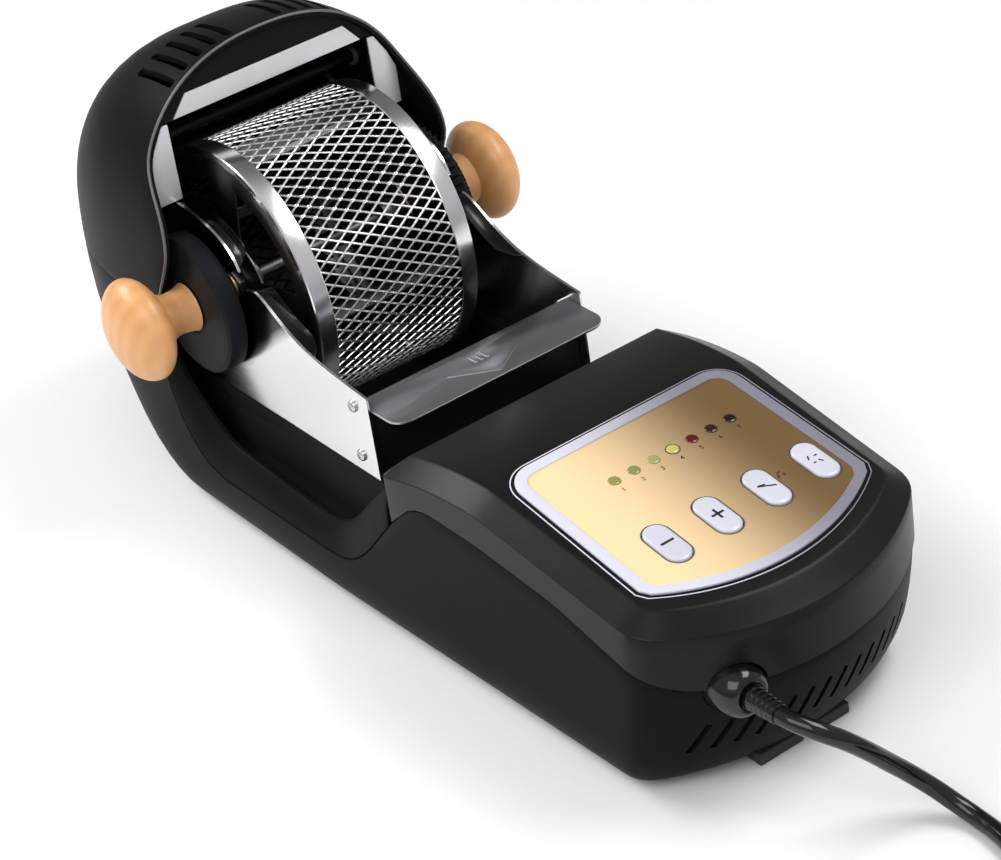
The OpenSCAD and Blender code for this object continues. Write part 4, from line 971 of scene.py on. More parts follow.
def eased_deck(y):
    """The cover's height: flat under the panel, then one long curve down to the back edge."""
    turn, start, fall = 8.0, DECK_RIDGE - 6, 0.0021
    if y < start:
        return deck_z(y)
    slope = tan(DECK_TILT)
    share = min(1.0, (y - start) / turn)
    top = deck_z(start) + slope * turn * (share - share ** 2 / 2)
    return top - fall * max(0.0, y - start - turn) ** 2


COVER_CORNER, CORNER_SHRINK = 6.0, 5.6  # the cover's back corners and how far an inset shrinks them


def cover_half(inset):
    """Half outline of the cover at an inset, as (x, y) pairs from the back's middle to the front's."""
    w = wall_x(COVER_BACK)
    half = [(0.0, COVER_BACK - inset), (0.5 * w, COVER_BACK - inset)]
    radius = COVER_CORNER - min(inset, CORNER_SHRINK)
    shift = inset - (COVER_CORNER - radius) if inset > CORNER_SHRINK else 0.0
    for k in range(7):
        a = pi / 2 * (1 - k / 6)
        half.append((w - COVER_CORNER - shift + radius * cos(a),
                     COVER_BACK - COVER_CORNER - shift + radius * sin(a)))
    half += [(wall_x(y) - inset, y) for y in side_run(COVER_BACK - 20, CORNER + CORNER_REACH, 6.0)]
    half += [corner_curve(inset, k / 6, 0)[:2] for k in range(1, 7)]
    for x in front_run():
        x = x * (FRONT_HALF - inset) / FRONT_HALF
        half.append((x, front_y(x, inset)))
    return half


def cover_mesh():
    """The cover: from its inner edge round the seam, up the side and over the shoulder."""
    shoulder, drop = sizes().shoulder, sizes().shoulder_drop
    outline = cover_half(0)
    seams = [seam_z(y) + LID_GAP for _, y in outline]
    rows = []

    def row(inset, levels):
        rows.append(mirrored([(x, y, z) for (x, y), z in zip(cover_half(inset), levels)]))

    def deck(inset, down):
        return [eased_deck(y) - down for _, y in cover_half(inset)]

    row(WALL, deck(WALL, 8.5))
    row(WALL, seams)
    row(0.5, seams)
    row(0.0, [z + 0.5 for z in seams])
    tops = deck(0, drop)
    for share in (0.25, 0.5, 0.75):
        row(0.0, [z + (top - z) * share for z, top in zip(seams, tops)])
    for inset, down in (
        (0.0, 1.0), (0.25, 0.955), (0.7, 0.92), (0.3 * shoulder, 0.7), (0.6 * shoulder, 0.4),
        (0.9 * shoulder, 0.1), (0.97 * shoulder, 0.035), (1.03 * shoulder, 0.006), (1.1 * shoulder, 0.0),
        (shoulder + 6, 0.0), (shoulder + 12, 0.0),
    ):
        row(inset, deck(inset, drop * down))
    count = len(rows[0])
    points, faces = grid(rows)
    half = len(cover_half(0))
    for first, flip in ((0, True), ((len(rows) - 1) * count, False)):
        for k in range(half - 1):
            a, b = first + k, first + k + 1
            c = first + (count - k - 1 if k + 1 < half - 1 else half - 1)
            d = first + ((count - k) % count)
            face = tuple(dict.fromkeys((a, b, c, d)))
            faces.append(face[::-1] if flip else face)
    return mesh_of(points, faces)


PANEL_BACK, PANEL_FRONT, PANEL_LENGTH, PANEL_ARC = 65.0, 66.0, 121.0, 112.0
BEZEL, SHEET_TOP = 6.0, 0.95  # width of the frame and level of the fascia's face


def panel_half(tuck, corner=14.0):
    """Half of the panel's outline, drawn in by the tuck."""
    back, front = PANEL_BACK - tuck, PANEL_FRONT - tuck
    round_back = max(1.5, corner - tuck)
    half = [(back - round_back + round_back * cos(a), -tuck - round_back + round_back * sin(a))
            for a in [pi / 2 * (1 - k / 12) for k in range(13)]]
    reach = 3.0
    half.append((front - 0.02,
                 -PANEL_LENGTH + tuck + PANEL_ARC - sqrt(PANEL_ARC ** 2 - front ** 2) + reach))
    half += [(x, -PANEL_LENGTH + tuck + PANEL_ARC - sqrt(PANEL_ARC ** 2 - x * x))
             for x in [(front - reach) * (1 - k / 20) for k in range(21)]]
    return half


def panel_outline(tuck):
    half = panel_half(tuck)
    return half + [(-x, y) for x, y in reversed(half[:-1])]


def ring_slab(outer, inner, low, high, plane):
    """A flat frame between two outlines of equal length."""
    rows = [[plane(u, v, w) for u, v in line]
            for line, w in ((outer, low), (outer, high), (inner, high), (inner, low))]
    return mesh_of(*grid(rows + [rows[0]]))


def pill_outline(width, length, grow=0.0, steps=10):
    """A slot's outline with round ends."""
    r, run = width / 2 + grow, (length - width) / 2
    top = [(r * cos(a), run + r * sin(a)) for a in [pi * k / steps for k in range(steps + 1)]]
    return top + [(-x, -y) for x, y in top]


def moved(outline, u, v):
    return [(x + u, y + v) for x, y in outline]


def button_outline(x, grow, steps=10):
    return moved(pill_outline(BUTTON_WIDTH, BUTTON_LENGTH, grow, steps), x, BUTTON_ROW)


def lamp_outline(x, grow, steps=10):
    width = 2 * (LAMP_R + grow)
    return moved(pill_outline(width, width + 0.02, 0.0, steps), x, LAMP_ROW)


def turned(outline, degrees):
    a = radians(degrees)
    return [(x * cos(a) - y * sin(a), x * sin(a) + y * cos(a)) for x, y in outline]


def bar(width, height):
    return [(u * width / 2, v * height / 2) for u, v in ((-1, -1), (1, -1), (1, 1), (-1, 1))]


# Rows are places up the deck's slope from the ridge.
BUTTON_PITCH, BUTTON_LENGTH, BUTTON_WIDTH, BUTTON_ROW = 29.0, 27.0, 13.0, -81.0
LAMP_PITCH, LAMP_ROW, LAMP_R = 11.4, -33.5, 3.2
BUTTONS = ["minus_button", "plus_button", "level_button", "start_button"]
BUTTON_X = [7 + BUTTON_PITCH * (k - 1.5) for k in range(4)]
LAMP_X = [7 + LAMP_PITCH * (k - 3) for k in range(7)]

# ---------------------------------------------------------------- cord

CORD_D = 8.6
FLOOR = -126.0
CORD_LOW = FLOOR + CORD_D / 2
COIL_LOW = CORD_LOW + 1.2
# Turns in a layer, the outer radius, from turn to turn, from layer to layer, the dip inwards while the
# cord climbs, and the straight end before the plug.
COIL_TURNS, COIL_R, COIL_PITCH, LAYER_RISE, CLIMB_DIP, PLUG_TAIL = 2, 50.0, 9.6, 9.3, 1.6, 17.0
COIL_X, COIL_Y = 46.0, -568.0
ROUTE = [
    (-46, -392, -63), (-46, -398, -63), (-46, -405, -63), (-44, -413, -64), (-39, -421, -67),
    (-31, -427, -73), (-22, -430, -82), (-13, -432, -92), (-4, -435, -102), (4, -441, -111.5),
    (9, -450, -118.5), (11, -461, CORD_LOW), (10, -473, CORD_LOW), (7, -486, CORD_LOW),
    (3, -500, CORD_LOW), (0, -514, CORD_LOW), (-2, -527, CORD_LOW), (-3.6, -539, CORD_LOW + 0.5),
    (-4, -550, COIL_LOW), (COIL_X - COIL_R, COIL_Y + CORD_D, COIL_LOW),
]


def coil_point(t):
    """The cord's middle in the coil after t turns: two layers, the lower wound inwards."""
    inner = COIL_R - COIL_PITCH * COIL_TURNS
    rise = min(1.0, max(0.0, (t - COIL_TURNS) * 2))
    if t <= COIL_TURNS:
        r = COIL_R - COIL_PITCH * t
    elif t >= COIL_TURNS + 0.5:
        r = inner + COIL_PITCH * (t - COIL_TURNS - 0.5)
    else:
        r = inner - CLIMB_DIP * sin(2 * pi * (t - COIL_TURNS))
    a = pi + 2 * pi * t
    return (COIL_X + r * cos(a), COIL_Y + r * sin(a), COIL_LOW + LAYER_RISE * (1 - cos(pi * rise)) / 2)


COIL_END = 2 * COIL_TURNS + 0.5


def smooth_route(points, parts=4):
    """A smooth line through the points."""
    result = []
    for k in range(len(points) - 1):
        a, b = Vector(points[max(k - 1, 0)]), Vector(points[k])
        c, d = Vector(points[k + 1]), Vector(points[min(k + 2, len(points) - 1)])
        for j in range(parts):
            t = j / parts
            result.append(0.5 * (2 * b + (c - a) * t + (2 * a - 5 * b + 4 * c - d) * t * t
                                 + (3 * b - a - 3 * c + d) * t ** 3))
    return result + [Vector(points[-1])]


# ---------------------------------------------------------------- operators

CAMERA_RIGHT, CAMERA_UP = 95.4, -94.7  # how far the camera stands aside from the line to the axis
DIM_SIDE = (0.455, 0.52, 0.724)  # the direction in which the room is dimmer


class ROASTER_OT_stage(bpy.types.Operator):
    """Camera, floor, lamps and room"""

    bl_idname = "roaster.stage"
    bl_label = "Stage"

    def execute(self, context):
        scene, stage = context.scene, context.scene.roaster_stage
        scene.view_settings.view_transform = "Standard"
        a, e, roll = radians(stage.azimuth), radians(stage.elevation), radians(stage.roll)
        back = Vector((sin(a) * cos(e), -cos(a) * cos(e), sin(e)))
        level_right = Vector((cos(a), sin(a), 0))
        level_up = back.cross(level_right)
        right = cos(roll) * level_right + sin(roll) * level_up
        up = -sin(roll) * level_right + cos(roll) * level_up
        camera = linked("camera", bpy.data.cameras.new("camera"))
        place = AXIS + (back * stage.distance + right * CAMERA_RIGHT + up * CAMERA_UP) * MM
        camera.matrix_world = Matrix((
            (right.x, up.x, back.x, place.x), (right.y, up.y, back.y, place.y),
            (right.z, up.z, back.z, place.z), (0, 0, 0, 1)))
        camera.data.lens = stage.lens
        camera.data.sensor_width = 36
        camera.data.sensor_fit = "HORIZONTAL"
        camera.data.clip_end = 50
        scene.camera = camera
        self.floor(stage)
        self.lamps()
        self.room(scene, stage)
        return {"FINISHED"}

    def floor(self, stage):
        level, reach = AXIS.z + FLOOR * MM - 0.0003, 12
        mesh = bpy.data.meshes.new("floor")
        mesh.from_pydata([(-reach, -reach, level), (reach, -reach, level), (reach, reach, level),
                          (-reach, reach, level)], [], [(0, 1, 2, 3)])
        f = Finish("floor_paper")
        colour = tuple(stage.floor)
        f.set(Base_Color=f.mix(f.noise(0.004, 2.0), toned(colour, 0.97), colour), Roughness=0.9,
              Specular_IOR_Level=0.1)
        mesh.materials.append(f.material)
        linked("floor", mesh)

    def lamps(self):
        for name, place, aim, size, power in (
            ("left_softbox", (-620, 800, 860), (0, -120, 0), (0.8, 0.5), 11.0),
            ("top_softbox", (560, -520, 1050), (0, -180, -30), (0.8, 0.5), 8.0),
            ("key_softbox", (-760, -620, 760), (0, -120, -40), (0.9, 0.6), 5.0),
        ):
            data = bpy.data.lights.new(name, "AREA")
            data.shape = "RECTANGLE"
            data.size, data.size_y = size
            data.energy = power
            lamp = linked(name, data)
            lamp.location = at(*place)
            lamp.rotation_euler = (at(*aim) - at(*place)).to_track_quat("-Z", "Y").to_euler()

    def room(self, scene, stage):
        """Soft grey room with one dim side, seen as plain white by the camera."""
        world = bpy.data.worlds.new("room")
        world.use_nodes = True
        g = Graph(world.node_tree)
        g.tree.nodes.clear()
        output = g.tree.nodes.new("ShaderNodeOutputWorld")
        look = g.add("ShaderNodeTexCoord", None, None, "Generated")
        tone = g.add("ShaderNodeValToRGB", {"stops": [
            (0.0, (0.30, 0.30, 0.31)), (0.46, (0.45, 0.45, 0.46)), (0.62, (0.95, 0.95, 0.96)),
            (1.0, (1.0, 1.0, 1.0))]}, {0: g.axis(look, "Z") * 0.5 + 0.5})
        facing = g.add("ShaderNodeVectorMath", {"operation": "DOT_PRODUCT"}, {0: look, 1: DIM_SIDE},
                       "Value")
        dim = 1.0 - ((facing - 0.72) / 0.22).clamped() * 0.72
        soft = g.add("ShaderNodeBackground", None, {"Color": tone, "Strength": dim * stage.world})
        plain = g.add("ShaderNodeBackground", None, {"Color": (1, 1, 1), "Strength": 1.0})
        seen = g.add("ShaderNodeLightPath", None, None, "Is Camera Ray")
        mixed = g.add("ShaderNodeMixShader", None, {0: seen, 1: soft, 2: plain})
        g.tree.links.new(mixed.socket, output.inputs[0])
        scene.world = world


class ROASTER_OT_cord(bpy.types.Operator):
    """Mains cord with its coil, strain relief, gland, tie and plug"""

    bl_idname = "roaster.cord"
    bl_label = "Cord"

    def execute(self, context):
        line = smooth_route(ROUTE) + [Vector(coil_point(k / 48)) for k in range(int(COIL_END * 48) + 1)]
        tail = Vector((-sin(pi + 2 * pi * COIL_END), cos(pi + 2 * pi * COIL_END), 0)) * PLUG_TAIL
        line.append(line[-1] + tail)
        data = bpy.data.curves.new("power_cord_line", "CURVE")
        data.dimensions = "3D"
        data.bevel_depth = CORD_D / 2 * MM * 0.995
        data.bevel_resolution = 6
        data.use_fill_caps = True
        spline = data.splines.new("POLY")
        spline.points.add(len(line) - 1)
        for point, place in zip(spline.points, line):
            point.co = (*at(*place), 1.0)
        spline.use_smooth = True
        cord = linked("mains_cord", data)
        data.materials.append(finish("cord_sheath")[0])
        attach(cord, "housing")
        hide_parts("power_cord", "cord_coil")
        length = sum((b - a).length for a, b in zip(line, line[1:])) * MM
        relief = self.relief()
        plug = keep("mains_plug", dressed("plug_body", 1.6, 3, 20), "cord_sheath", "plug_body", smooth=50)
        pins = dress("pin_plate", 0.3, "plug_pins")
        tie = dress("strap", 0.3, "cord_tie")
        self.gland()
        return {"FINISHED"}

    def turned_forward(self, profile, start, segments):
        """A form turned about the cord's way out, from (distance forward, radius) pairs."""
        turns = [2 * pi * k / segments for k in range(segments)]
        return mesh_of(*grid([[(GLAND[0] + r * cos(a), start - x, GLAND[2] + r * sin(a)) for a in turns]
                              for x, r in profile]))

    def relief(self):
        """Tapered sleeve with bending grooves."""
        bore, neck_r, steps = CORD_D / 2 + 0.05, 6.2, 6
        start = GLAND[1] + 13.5
        neck, length = start - (GLAND[1] - 9), start + 404.0
        profile = [(0.0, bore), (0.0, neck_r), (neck, neck_r)]
        for k in range(steps):
            x0 = neck + (length - neck) * k / steps
            x1 = neck + (length - neck) * (k + 0.62) / steps
            r = 6.1 - 1.25 * (k + 0.5) / steps
            profile += [(x0 + 0.1, r - 0.55), (x0 + 0.5, r), (x1, r - 0.1), (x1 + 0.3, r - 0.6)]
        profile += [(length, 4.7), (length, bore), (0.0, bore)]
        return keep("cord_sleeve", self.turned_forward(profile, start, 48), "cord_sheath", "strain_relief",
                    smooth=35)

    def gland(self):
        """Domed boss that the sleeve comes out of."""
        turns = [pi / 2 * k / 10 for k in range(11)]
        profile = [(0, 6.5), (0, BOSS_R + 2.5), (2.5, BOSS_R + 2.5), (2.5, BOSS_R), (10, BOSS_R)]
        profile += [(10 + 12 * sin(a), BOSS_R - 5.2 * (1 - cos(a))) for a in turns]
        profile += [(21.8, 6.9), (20.5, 6.5), (0, 6.5)]
        keep("cord_boss", self.turned_forward(profile, GLAND[1] + 13, 64), "cord_sheath", "cord_gland",
             smooth=40)


class ROASTER_OT_tub(bpy.types.Operator):
    """Lower tub with its slanted vents and the foot bar"""

    bl_idname = "roaster.tub"
    bl_label = "Tub"

    def execute(self, context):
        mesh = cut_by(tub_mesh(), joined([vent_cutters(), boss_cutter()]))
        keep("tub", mesh, "shell_moulding", "base_shell", smooth=34)
        dress("foot_rubber", 0.8, "front_foot", "rubber_feet")
        return {"FINISHED"}


class ROASTER_OT_hood(bpy.types.Operator):
    """Domed hood with its crown slots, the dark mouth face and the bright flanges"""

    bl_idname = "roaster.hood"
    bl_label = "Hood"

    def execute(self, context):
        keep("hood", cut_by(hood_mesh(), hood_cutters()), "shell_moulding", "rear_hood", smooth=34)
        self.rim()
        self.mouth()
        dress("flange_sheet", sizes().sheet_edge, "mouth_flanges")
        return {"FINISHED"}

    def rim(self):
        """A lighter bead round the mouth: a painted highlight along the hood's edge."""
        line = []
        for a in list(range(0, 84, 3)) + [84, 86, 88, 89, 89.7]:
            z = 4 + (CROWN - 4) * sin(radians(a))
            line.append((dome_half(z) - 0.5, rim_y(z) + 0.2, z - 0.3))
        line += [(-x, y, z) for x, y, z in reversed(line)]
        keep("hood_rim", tube_mesh(line, 0.75), "worn_edge", smooth=60)

    def mouth(self):
        """The dark face inside the hood, with its opening for the chamber."""
        half_open, top, foot = 61.0, 91.6, 49.4
        arch = []
        for k in range(41):
            z = foot + (CROWN - WALL - 0.5 - foot) * (1 - (1 - k / 40) ** 2)
            arch.append((max(0.0, dome_half(z + 0.01, WALL) - 0.5), z))
        outline = [(half_open, top), (half_open, foot)] + arch
        outline += [(-x, z) for x, z in reversed(arch[:-1])] + [(-half_open, foot), (-half_open, top)]
        keep("mouth_plate", edged(slab(outline, 17.0, 19.4, across_y), 0.4), "inner_moulding",
             "mouth_face")


class ROASTER_OT_cover(bpy.types.Operator):
    """Front cover with its rounded shoulders"""

    bl_idname = "roaster.cover"
    bl_label = "Front Cover"

    def execute(self, context):
        low, high = -15, 10
        cutters = [boss_cutter()]
        cutters += [slab(button_outline(x, 0.5), low, high, on_deck) for x in BUTTON_X]
        cutters += [slab(lamp_outline(x, 0.3), low, high, on_deck) for x in LAMP_X]
        keep("deck_cover", cut_by(cover_mesh(), joined(cutters)), "cover_moulding", "front_cover",
             smooth=34)
        return {"FINISHED"}


class ROASTER_OT_rails(bpy.types.Operator):
    """Leaning rails beside the drum"""

    bl_idname = "roaster.rails"
    bl_label = "Side Rails"

    def execute(self, context):
        stops = side_run(27.0, COVER_BACK + 0.3, 4.0)
        meshes = []
        for side in (-1, 1):
            rows = []
            for y in stops:
                x, low, tuck = wall_x(y), seam_z(y) + LID_GAP, eased(RIDGE_IN, y, 6.0)
                high = max(eased(RIDGE, y, 6.0), low + 1.5)
                rows.append([(side * u, y, z) for u, z in (
                    (x, low), (x - tuck * 0.45, low + (high - low) * 0.6), (x - tuck, high),
                    (x - tuck - WALL, high), (x - WALL, low))])
            meshes.append(edged(mesh_of(*grid(rows, True, True)), 0.8, 3, 40))
        keep("rails", joined(meshes), "shell_moulding", "side_rails", smooth=36)
        return {"FINISHED"}


PLATE_R, ROD_CIRCLE, SLOT_LEAN = 91.6, 83.5, radians(35)
# (y, z) along the side plates' top edge, behind and in front of the shaft's slot.
UPPER_EDGE = [(20.0, 48.6), (8.0, 48.2), (-4.0, 46.6), (-15.0, 43.8), (-25.0, 39.4), (-32.0, 33.4),
              (-35.6, 27.0)]
LOWER_EDGE = [(-40.0, 18.6), (-46.0, 20.0), (-52.0, 18.6), (-58.6, 15.2), (-71.0, 8.2), (-85.0, 2.6),
              (-98.5, -0.6), (-115.0, -3.0), (-138.0, -5.4)]


class ROASTER_OT_chamber(bpy.types.Operator):
    """Sheet steel chamber: side plates, front plate, wall, tray, cradle, rods and screws"""

    bl_idname = "roaster.chamber"
    bl_label = "Roasting Chamber"

    def execute(self, context):
        self.side_plates()
        for finish_name, width, *nodes in (
            ("lip_sheet", sizes().sheet_edge, "front_plate"),
            # wall and tray in near-black steel: painted shade
            ("dull_sheet", sizes().sheet_edge, "chamber_wall", "chaff_tray"),
            ("inner_moulding", 0.5, "chamber_cradle"),
            ("inner_moulding", 0.4, "bay_partitions"),
            # rods and insulators in near-black colours: painted shade
            ("heater_sheath", 0.2, "heater_rods"),
            ("ceramic", 0.3, "heater_insulators"),
        ):
            dress(finish_name, width, *nodes)
        self.screws()
        return {"FINISHED"}

    def side_plates(self):
        """Side plates with a smooth top edge, a bright strip along it as a painted highlight of that edge,
        and folds turned in over the drum, painted near black as shade.
        """
        arc = [(PLATE_R * cos(radians(a)), PLATE_R * sin(radians(a))) for a in range(-34, 71, 4)]
        upper = [tuple(p)[:2] for p in smooth_route([(y, z, 0) for y, z in UPPER_EDGE], 5)]
        lower = [tuple(p)[:2] for p in smooth_route([(y, z, 0) for y, z in LOWER_EDGE], 5)]
        outline = arc + [(20.0, PLATE_R * sin(radians(70)))] + upper + lower
        outline += [(-138.0, -52.0), (30.0, -52.0)]
        for side, name in ((-1, "left_side_plate"), (1, "right_side_plate")):
            cutters = [cylinder_mesh((side * 60, 0, 0), (side * 70, 0, 0), 7.8), self.slot_block(side)]
            for a in (62, 36, 10, -16):
                y, z = ROD_CIRCLE * cos(radians(a)), ROD_CIRCLE * sin(radians(a))
                cutters.append(cylinder_mesh((side * 60, y, z), (side * 70, y, z), 5.6, 32))
            sheet = slab(outline, side * 64.5, side * 65.7, across_x)
            for cutter in cutters:
                sheet = cut_by(sheet, cutter)
            keep(name + "_sheet", edged(sheet, 0.2, 1, 50), "plate_sheet", name)
            # The folds' near-black steel is painted shade.
            folds = [edged(self.strip(side, line, 64.6, 8.6, 1.1), 0.3, 2, 40)
                     for line in (upper[1:-2], lower[3:-12])]
            keep(name + "_folds", joined(folds), "fold_steel")
            # Painted highlight: bright steel strips along the edges where the plate is painted dark.
            edge_highlights = [self.strip(side, [(y, z + 0.25) for y, z in line], 65.75, 1.4, 0.6, False)
                     for line in (upper, lower)]
            keep(name + "_beads", joined(edge_highlights), "rim_steel", smooth=60)

    def slot_block(self, side):
        """The cutter for the slot that the shaft slides up."""
        points, faces = block(10, 60, 15.6, 0.0, -SLOT_LEAN)
        along = Vector((0, -cos(SLOT_LEAN), sin(SLOT_LEAN))) * 30
        return mesh_of([tuple(p + Vector((side * 65, 0, 0)) + along) for p in points], faces)

    def strip(self, side, line, outer, width, thick, tapered=True):
        """A strip of sheet along the line, reaching in from the plate."""
        rows = []
        for k, (y, z) in enumerate(line):
            share = k / (len(line) - 1)
            reach = width * min(1.0, 0.12 + 1.4 * sin(pi * share) ** 0.7) if tapered else width
            x0, x1 = side * outer, side * (outer - reach)
            rows.append([(x0, y, z), (x1, y, z), (x1, y, z - thick), (x0, y, z - thick)])
        return mesh_of(*grid(rows, True, True))

    def screws(self):
        """Pan-head screws with crossed slots, on the side plates' front edge."""
        profile = [(-6.0, 0.0), (-6.0, 1.45), (0.0, 1.45), (0.0, 3.1), (0.5, 3.2), (1.1, 2.9), (1.7, 2.1),
                   (2.0, 1.1), (2.05, 0.0)]
        turns = [2 * pi * k / 32 for k in range(32)]
        rows = [[(x, r * cos(a), r * sin(a)) for a in turns] for x, r in profile]
        unit = merged(centred(*grid(rows)), 1e-6)
        cross = []
        for turn in (0, pi / 2):
            points, faces = block(1.6, 3.4, 0.55)
            spin = Matrix.Rotation(turn, 3, "X")
            cross.append(centred([spin @ p + Vector((2.0, 0, 0)) for p in points], faces))
        unit = cut_by(unit, joined(cross), True)
        places = [(side * 65.75, -125, z) for side in (-1, 1) for z in (-14, -42)]
        turns = [(0.5 + k, 0, turn) for turn in (pi, 0) for k in (0, 1)]
        keep("plate_screws", repeated("screw_row", unit, places, turns, "screw_plate"), "screw_plate",
             "chamber_screws", smooth=40)


STRAND_R, STRAND_SPAN = 73.75, 39.4  # radius and half length of the expanded mesh
KNOB_IN = 78.5  # where the knobs meet the disc and the gear's hub


class ROASTER_OT_drum(bpy.types.Operator):
    """Mesh drum with its rims, end plates, vanes, shaft, disc and gear"""

    bl_idname = "roaster.drum"
    bl_label = "Drum"

    def execute(self, context):
        self.strands()
        r, x0, x1 = 75.0, 38.6, 48.5
        rim = [(x0, r - 0.7), (x0, r - 0.25), (x0 + 0.4, r), (x1 - 1.2, r), (x1 - 0.5, r - 0.2),
               (x1, r - 0.8), (x1, r - 4.6), (x1 - 0.3, r - 5.0), (x1 - 0.8, r - 4.7), (x1 - 0.8, r - 1.7),
               (x1 - 1.7, r - 0.75), (x0, r - 0.7)]
        for side, name in ((-1, "left_rim"), (1, "right_rim")):
            keep(name + "_band", lathe(rim, 160, side), "rim_steel", name, body="drum", smooth=30)
        for finish_name, width, *nodes in (
            ("end_plate_coat", 0.15, "left_end_plate", "right_end_plate"),
            ("vane_sheet", 0.1, "drum_vanes"),
            ("shaft_steel", 0.4, "drum_shaft"),
            ("screw_plate", 0.3, "knob_nuts"),
            ("bush_brass", 0.2, "shaft_bushes"),
        ):
            dress(finish_name, width, *nodes)
        r, x0, x1 = 37.5, 67.5, KNOB_IN
        disc = [(x0, 5.2), (x0, r - 0.9), (x0 + 0.9, r), (x1 - 2.2, r), (x1 - 0.9, r - 0.5),
                (x1 - 0.1, r - 1.8), (x1, r - 3.2), (x1, 15.0), (x1 - 0.5, 14.4), (x1 - 0.5, 5.2), (x0, 5.2)]
        keep("disc", lathe(disc, 128, -1), "disc_coat", "left_disc", body="drum", smooth=30)
        dress("gear_moulding", 0.18, "drum_gear")
        dress("cream_moulding", 0.15, "idler_gear")
        dress("bush_brass", 0.15, "motor_pinion")
        return {"FINISHED"}

    def strands(self):
        """Expanded mesh: crossed strands at every knot, put round the drum by geometry nodes."""
        s = sizes()
        step_x = 2 * STRAND_SPAN / s.mesh_across
        half_turn = STRAND_R * pi / s.mesh_around
        slope = atan2(half_turn, step_x)
        length = sqrt(half_turn ** 2 + step_x ** 2) * 1.03
        parts = [edged(centred(*block(length, s.strand, 0.8, way * slope, way * 0.42)), 0.16, 1)
                 for way in (-1, 1)]
        knot = linked("pattern", joined(parts + [centred(*block(2.2, 1.3, 0.75))]))
        g = Growth("strand_knots", {
            "Unit": ("Object", knot), "Across": ("Int", s.mesh_across + 1),
            "Around": ("Int", s.mesh_around), "Step": ("Float", step_x * MM),
            "Radius": ("Float", STRAND_R * MM), "Centre": ("Vector", tuple(AXIS)),
            "Finish": ("Material", finish("mesh_steel")[0])})
        across, around, ring = g.given("Across"), g.given("Around"), g.given("Radius")
        net = g.add("GeometryNodeMeshGrid", None, {"Size X": across - 1.0, "Size Y": around - 1.0,
                                                   "Vertices X": across, "Vertices Y": around}, "Mesh")
        place = g.add("GeometryNodeInputPosition")
        column = g.axis(place, "X") + (across - 1.0) * 0.5
        row = g.axis(place, "Y") + (around - 1.0) * 0.5
        odd = (column + 0.5).maths("FLOOR", column + 0.5) % 2.0
        angle = (row + odd * 0.5) * (2 * pi) / around
        spot = g.add("ShaderNodeCombineXYZ", None, {0: (column - (across - 1.0) * 0.5) * g.given("Step"),
                                                    1: angle.sine() * ring * -1.0, 2: angle.cosine() * ring})
        spot = g.add("ShaderNodeVectorMath", {"operation": "ADD"}, {0: spot, 1: g.given("Centre")})
        turn = g.add("ShaderNodeCombineXYZ", None, {0: angle})
        stored = g.add("GeometryNodeStoreNamedAttribute", {"data_type": "FLOAT_VECTOR"},
                       {"Geometry": net, "Name": "turn", "Value": turn})
        g.placed(g.add("GeometryNodeSetPosition", None, {"Geometry": stored, "Position": spot}))
        mesh = g.run(bpy.data.meshes.new("empty"))
        bpy.data.objects.remove(knot)
        keep("drum_strands", mesh, "mesh_steel", "drum_mesh", body="drum", smooth=30)


class ROASTER_OT_knobs(bpy.types.Operator):
    """Turned wooden knobs"""

    bl_idname = "roaster.knobs"
    bl_label = "Knobs"

    def execute(self, context):
        x0, neck, cap, r_cap, r_neck = KNOB_IN, 17.0, 27.0, 27.5, 12.0
        centre = x0 + neck + cap * 0.46
        profile = [(x0, 0.0), (x0, r_neck + 0.6), (x0 + 0.5, r_neck + 1.1), (x0 + 2, r_neck + 0.5),
                   (x0 + 5, r_neck - 0.2), (x0 + 9, r_neck - 0.8), (x0 + 12.5, r_neck - 0.5),
                   (x0 + 15, r_neck + 0.8)]
        for k in range(29):
            a = radians(-62 + 152 * k / 28)
            profile.append((centre + (0.46 if a < 0 else 0.54) * cap * sin(a),
                            r_cap * max(0.0, cos(a)) ** 0.9))
        for side, name in ((-1, "left_knob"), (1, "right_knob")):
            keep(name + "_turned", lathe(profile, 128, side), "oiled_wood", name, body="drum", smooth=50)
        return {"FINISHED"}


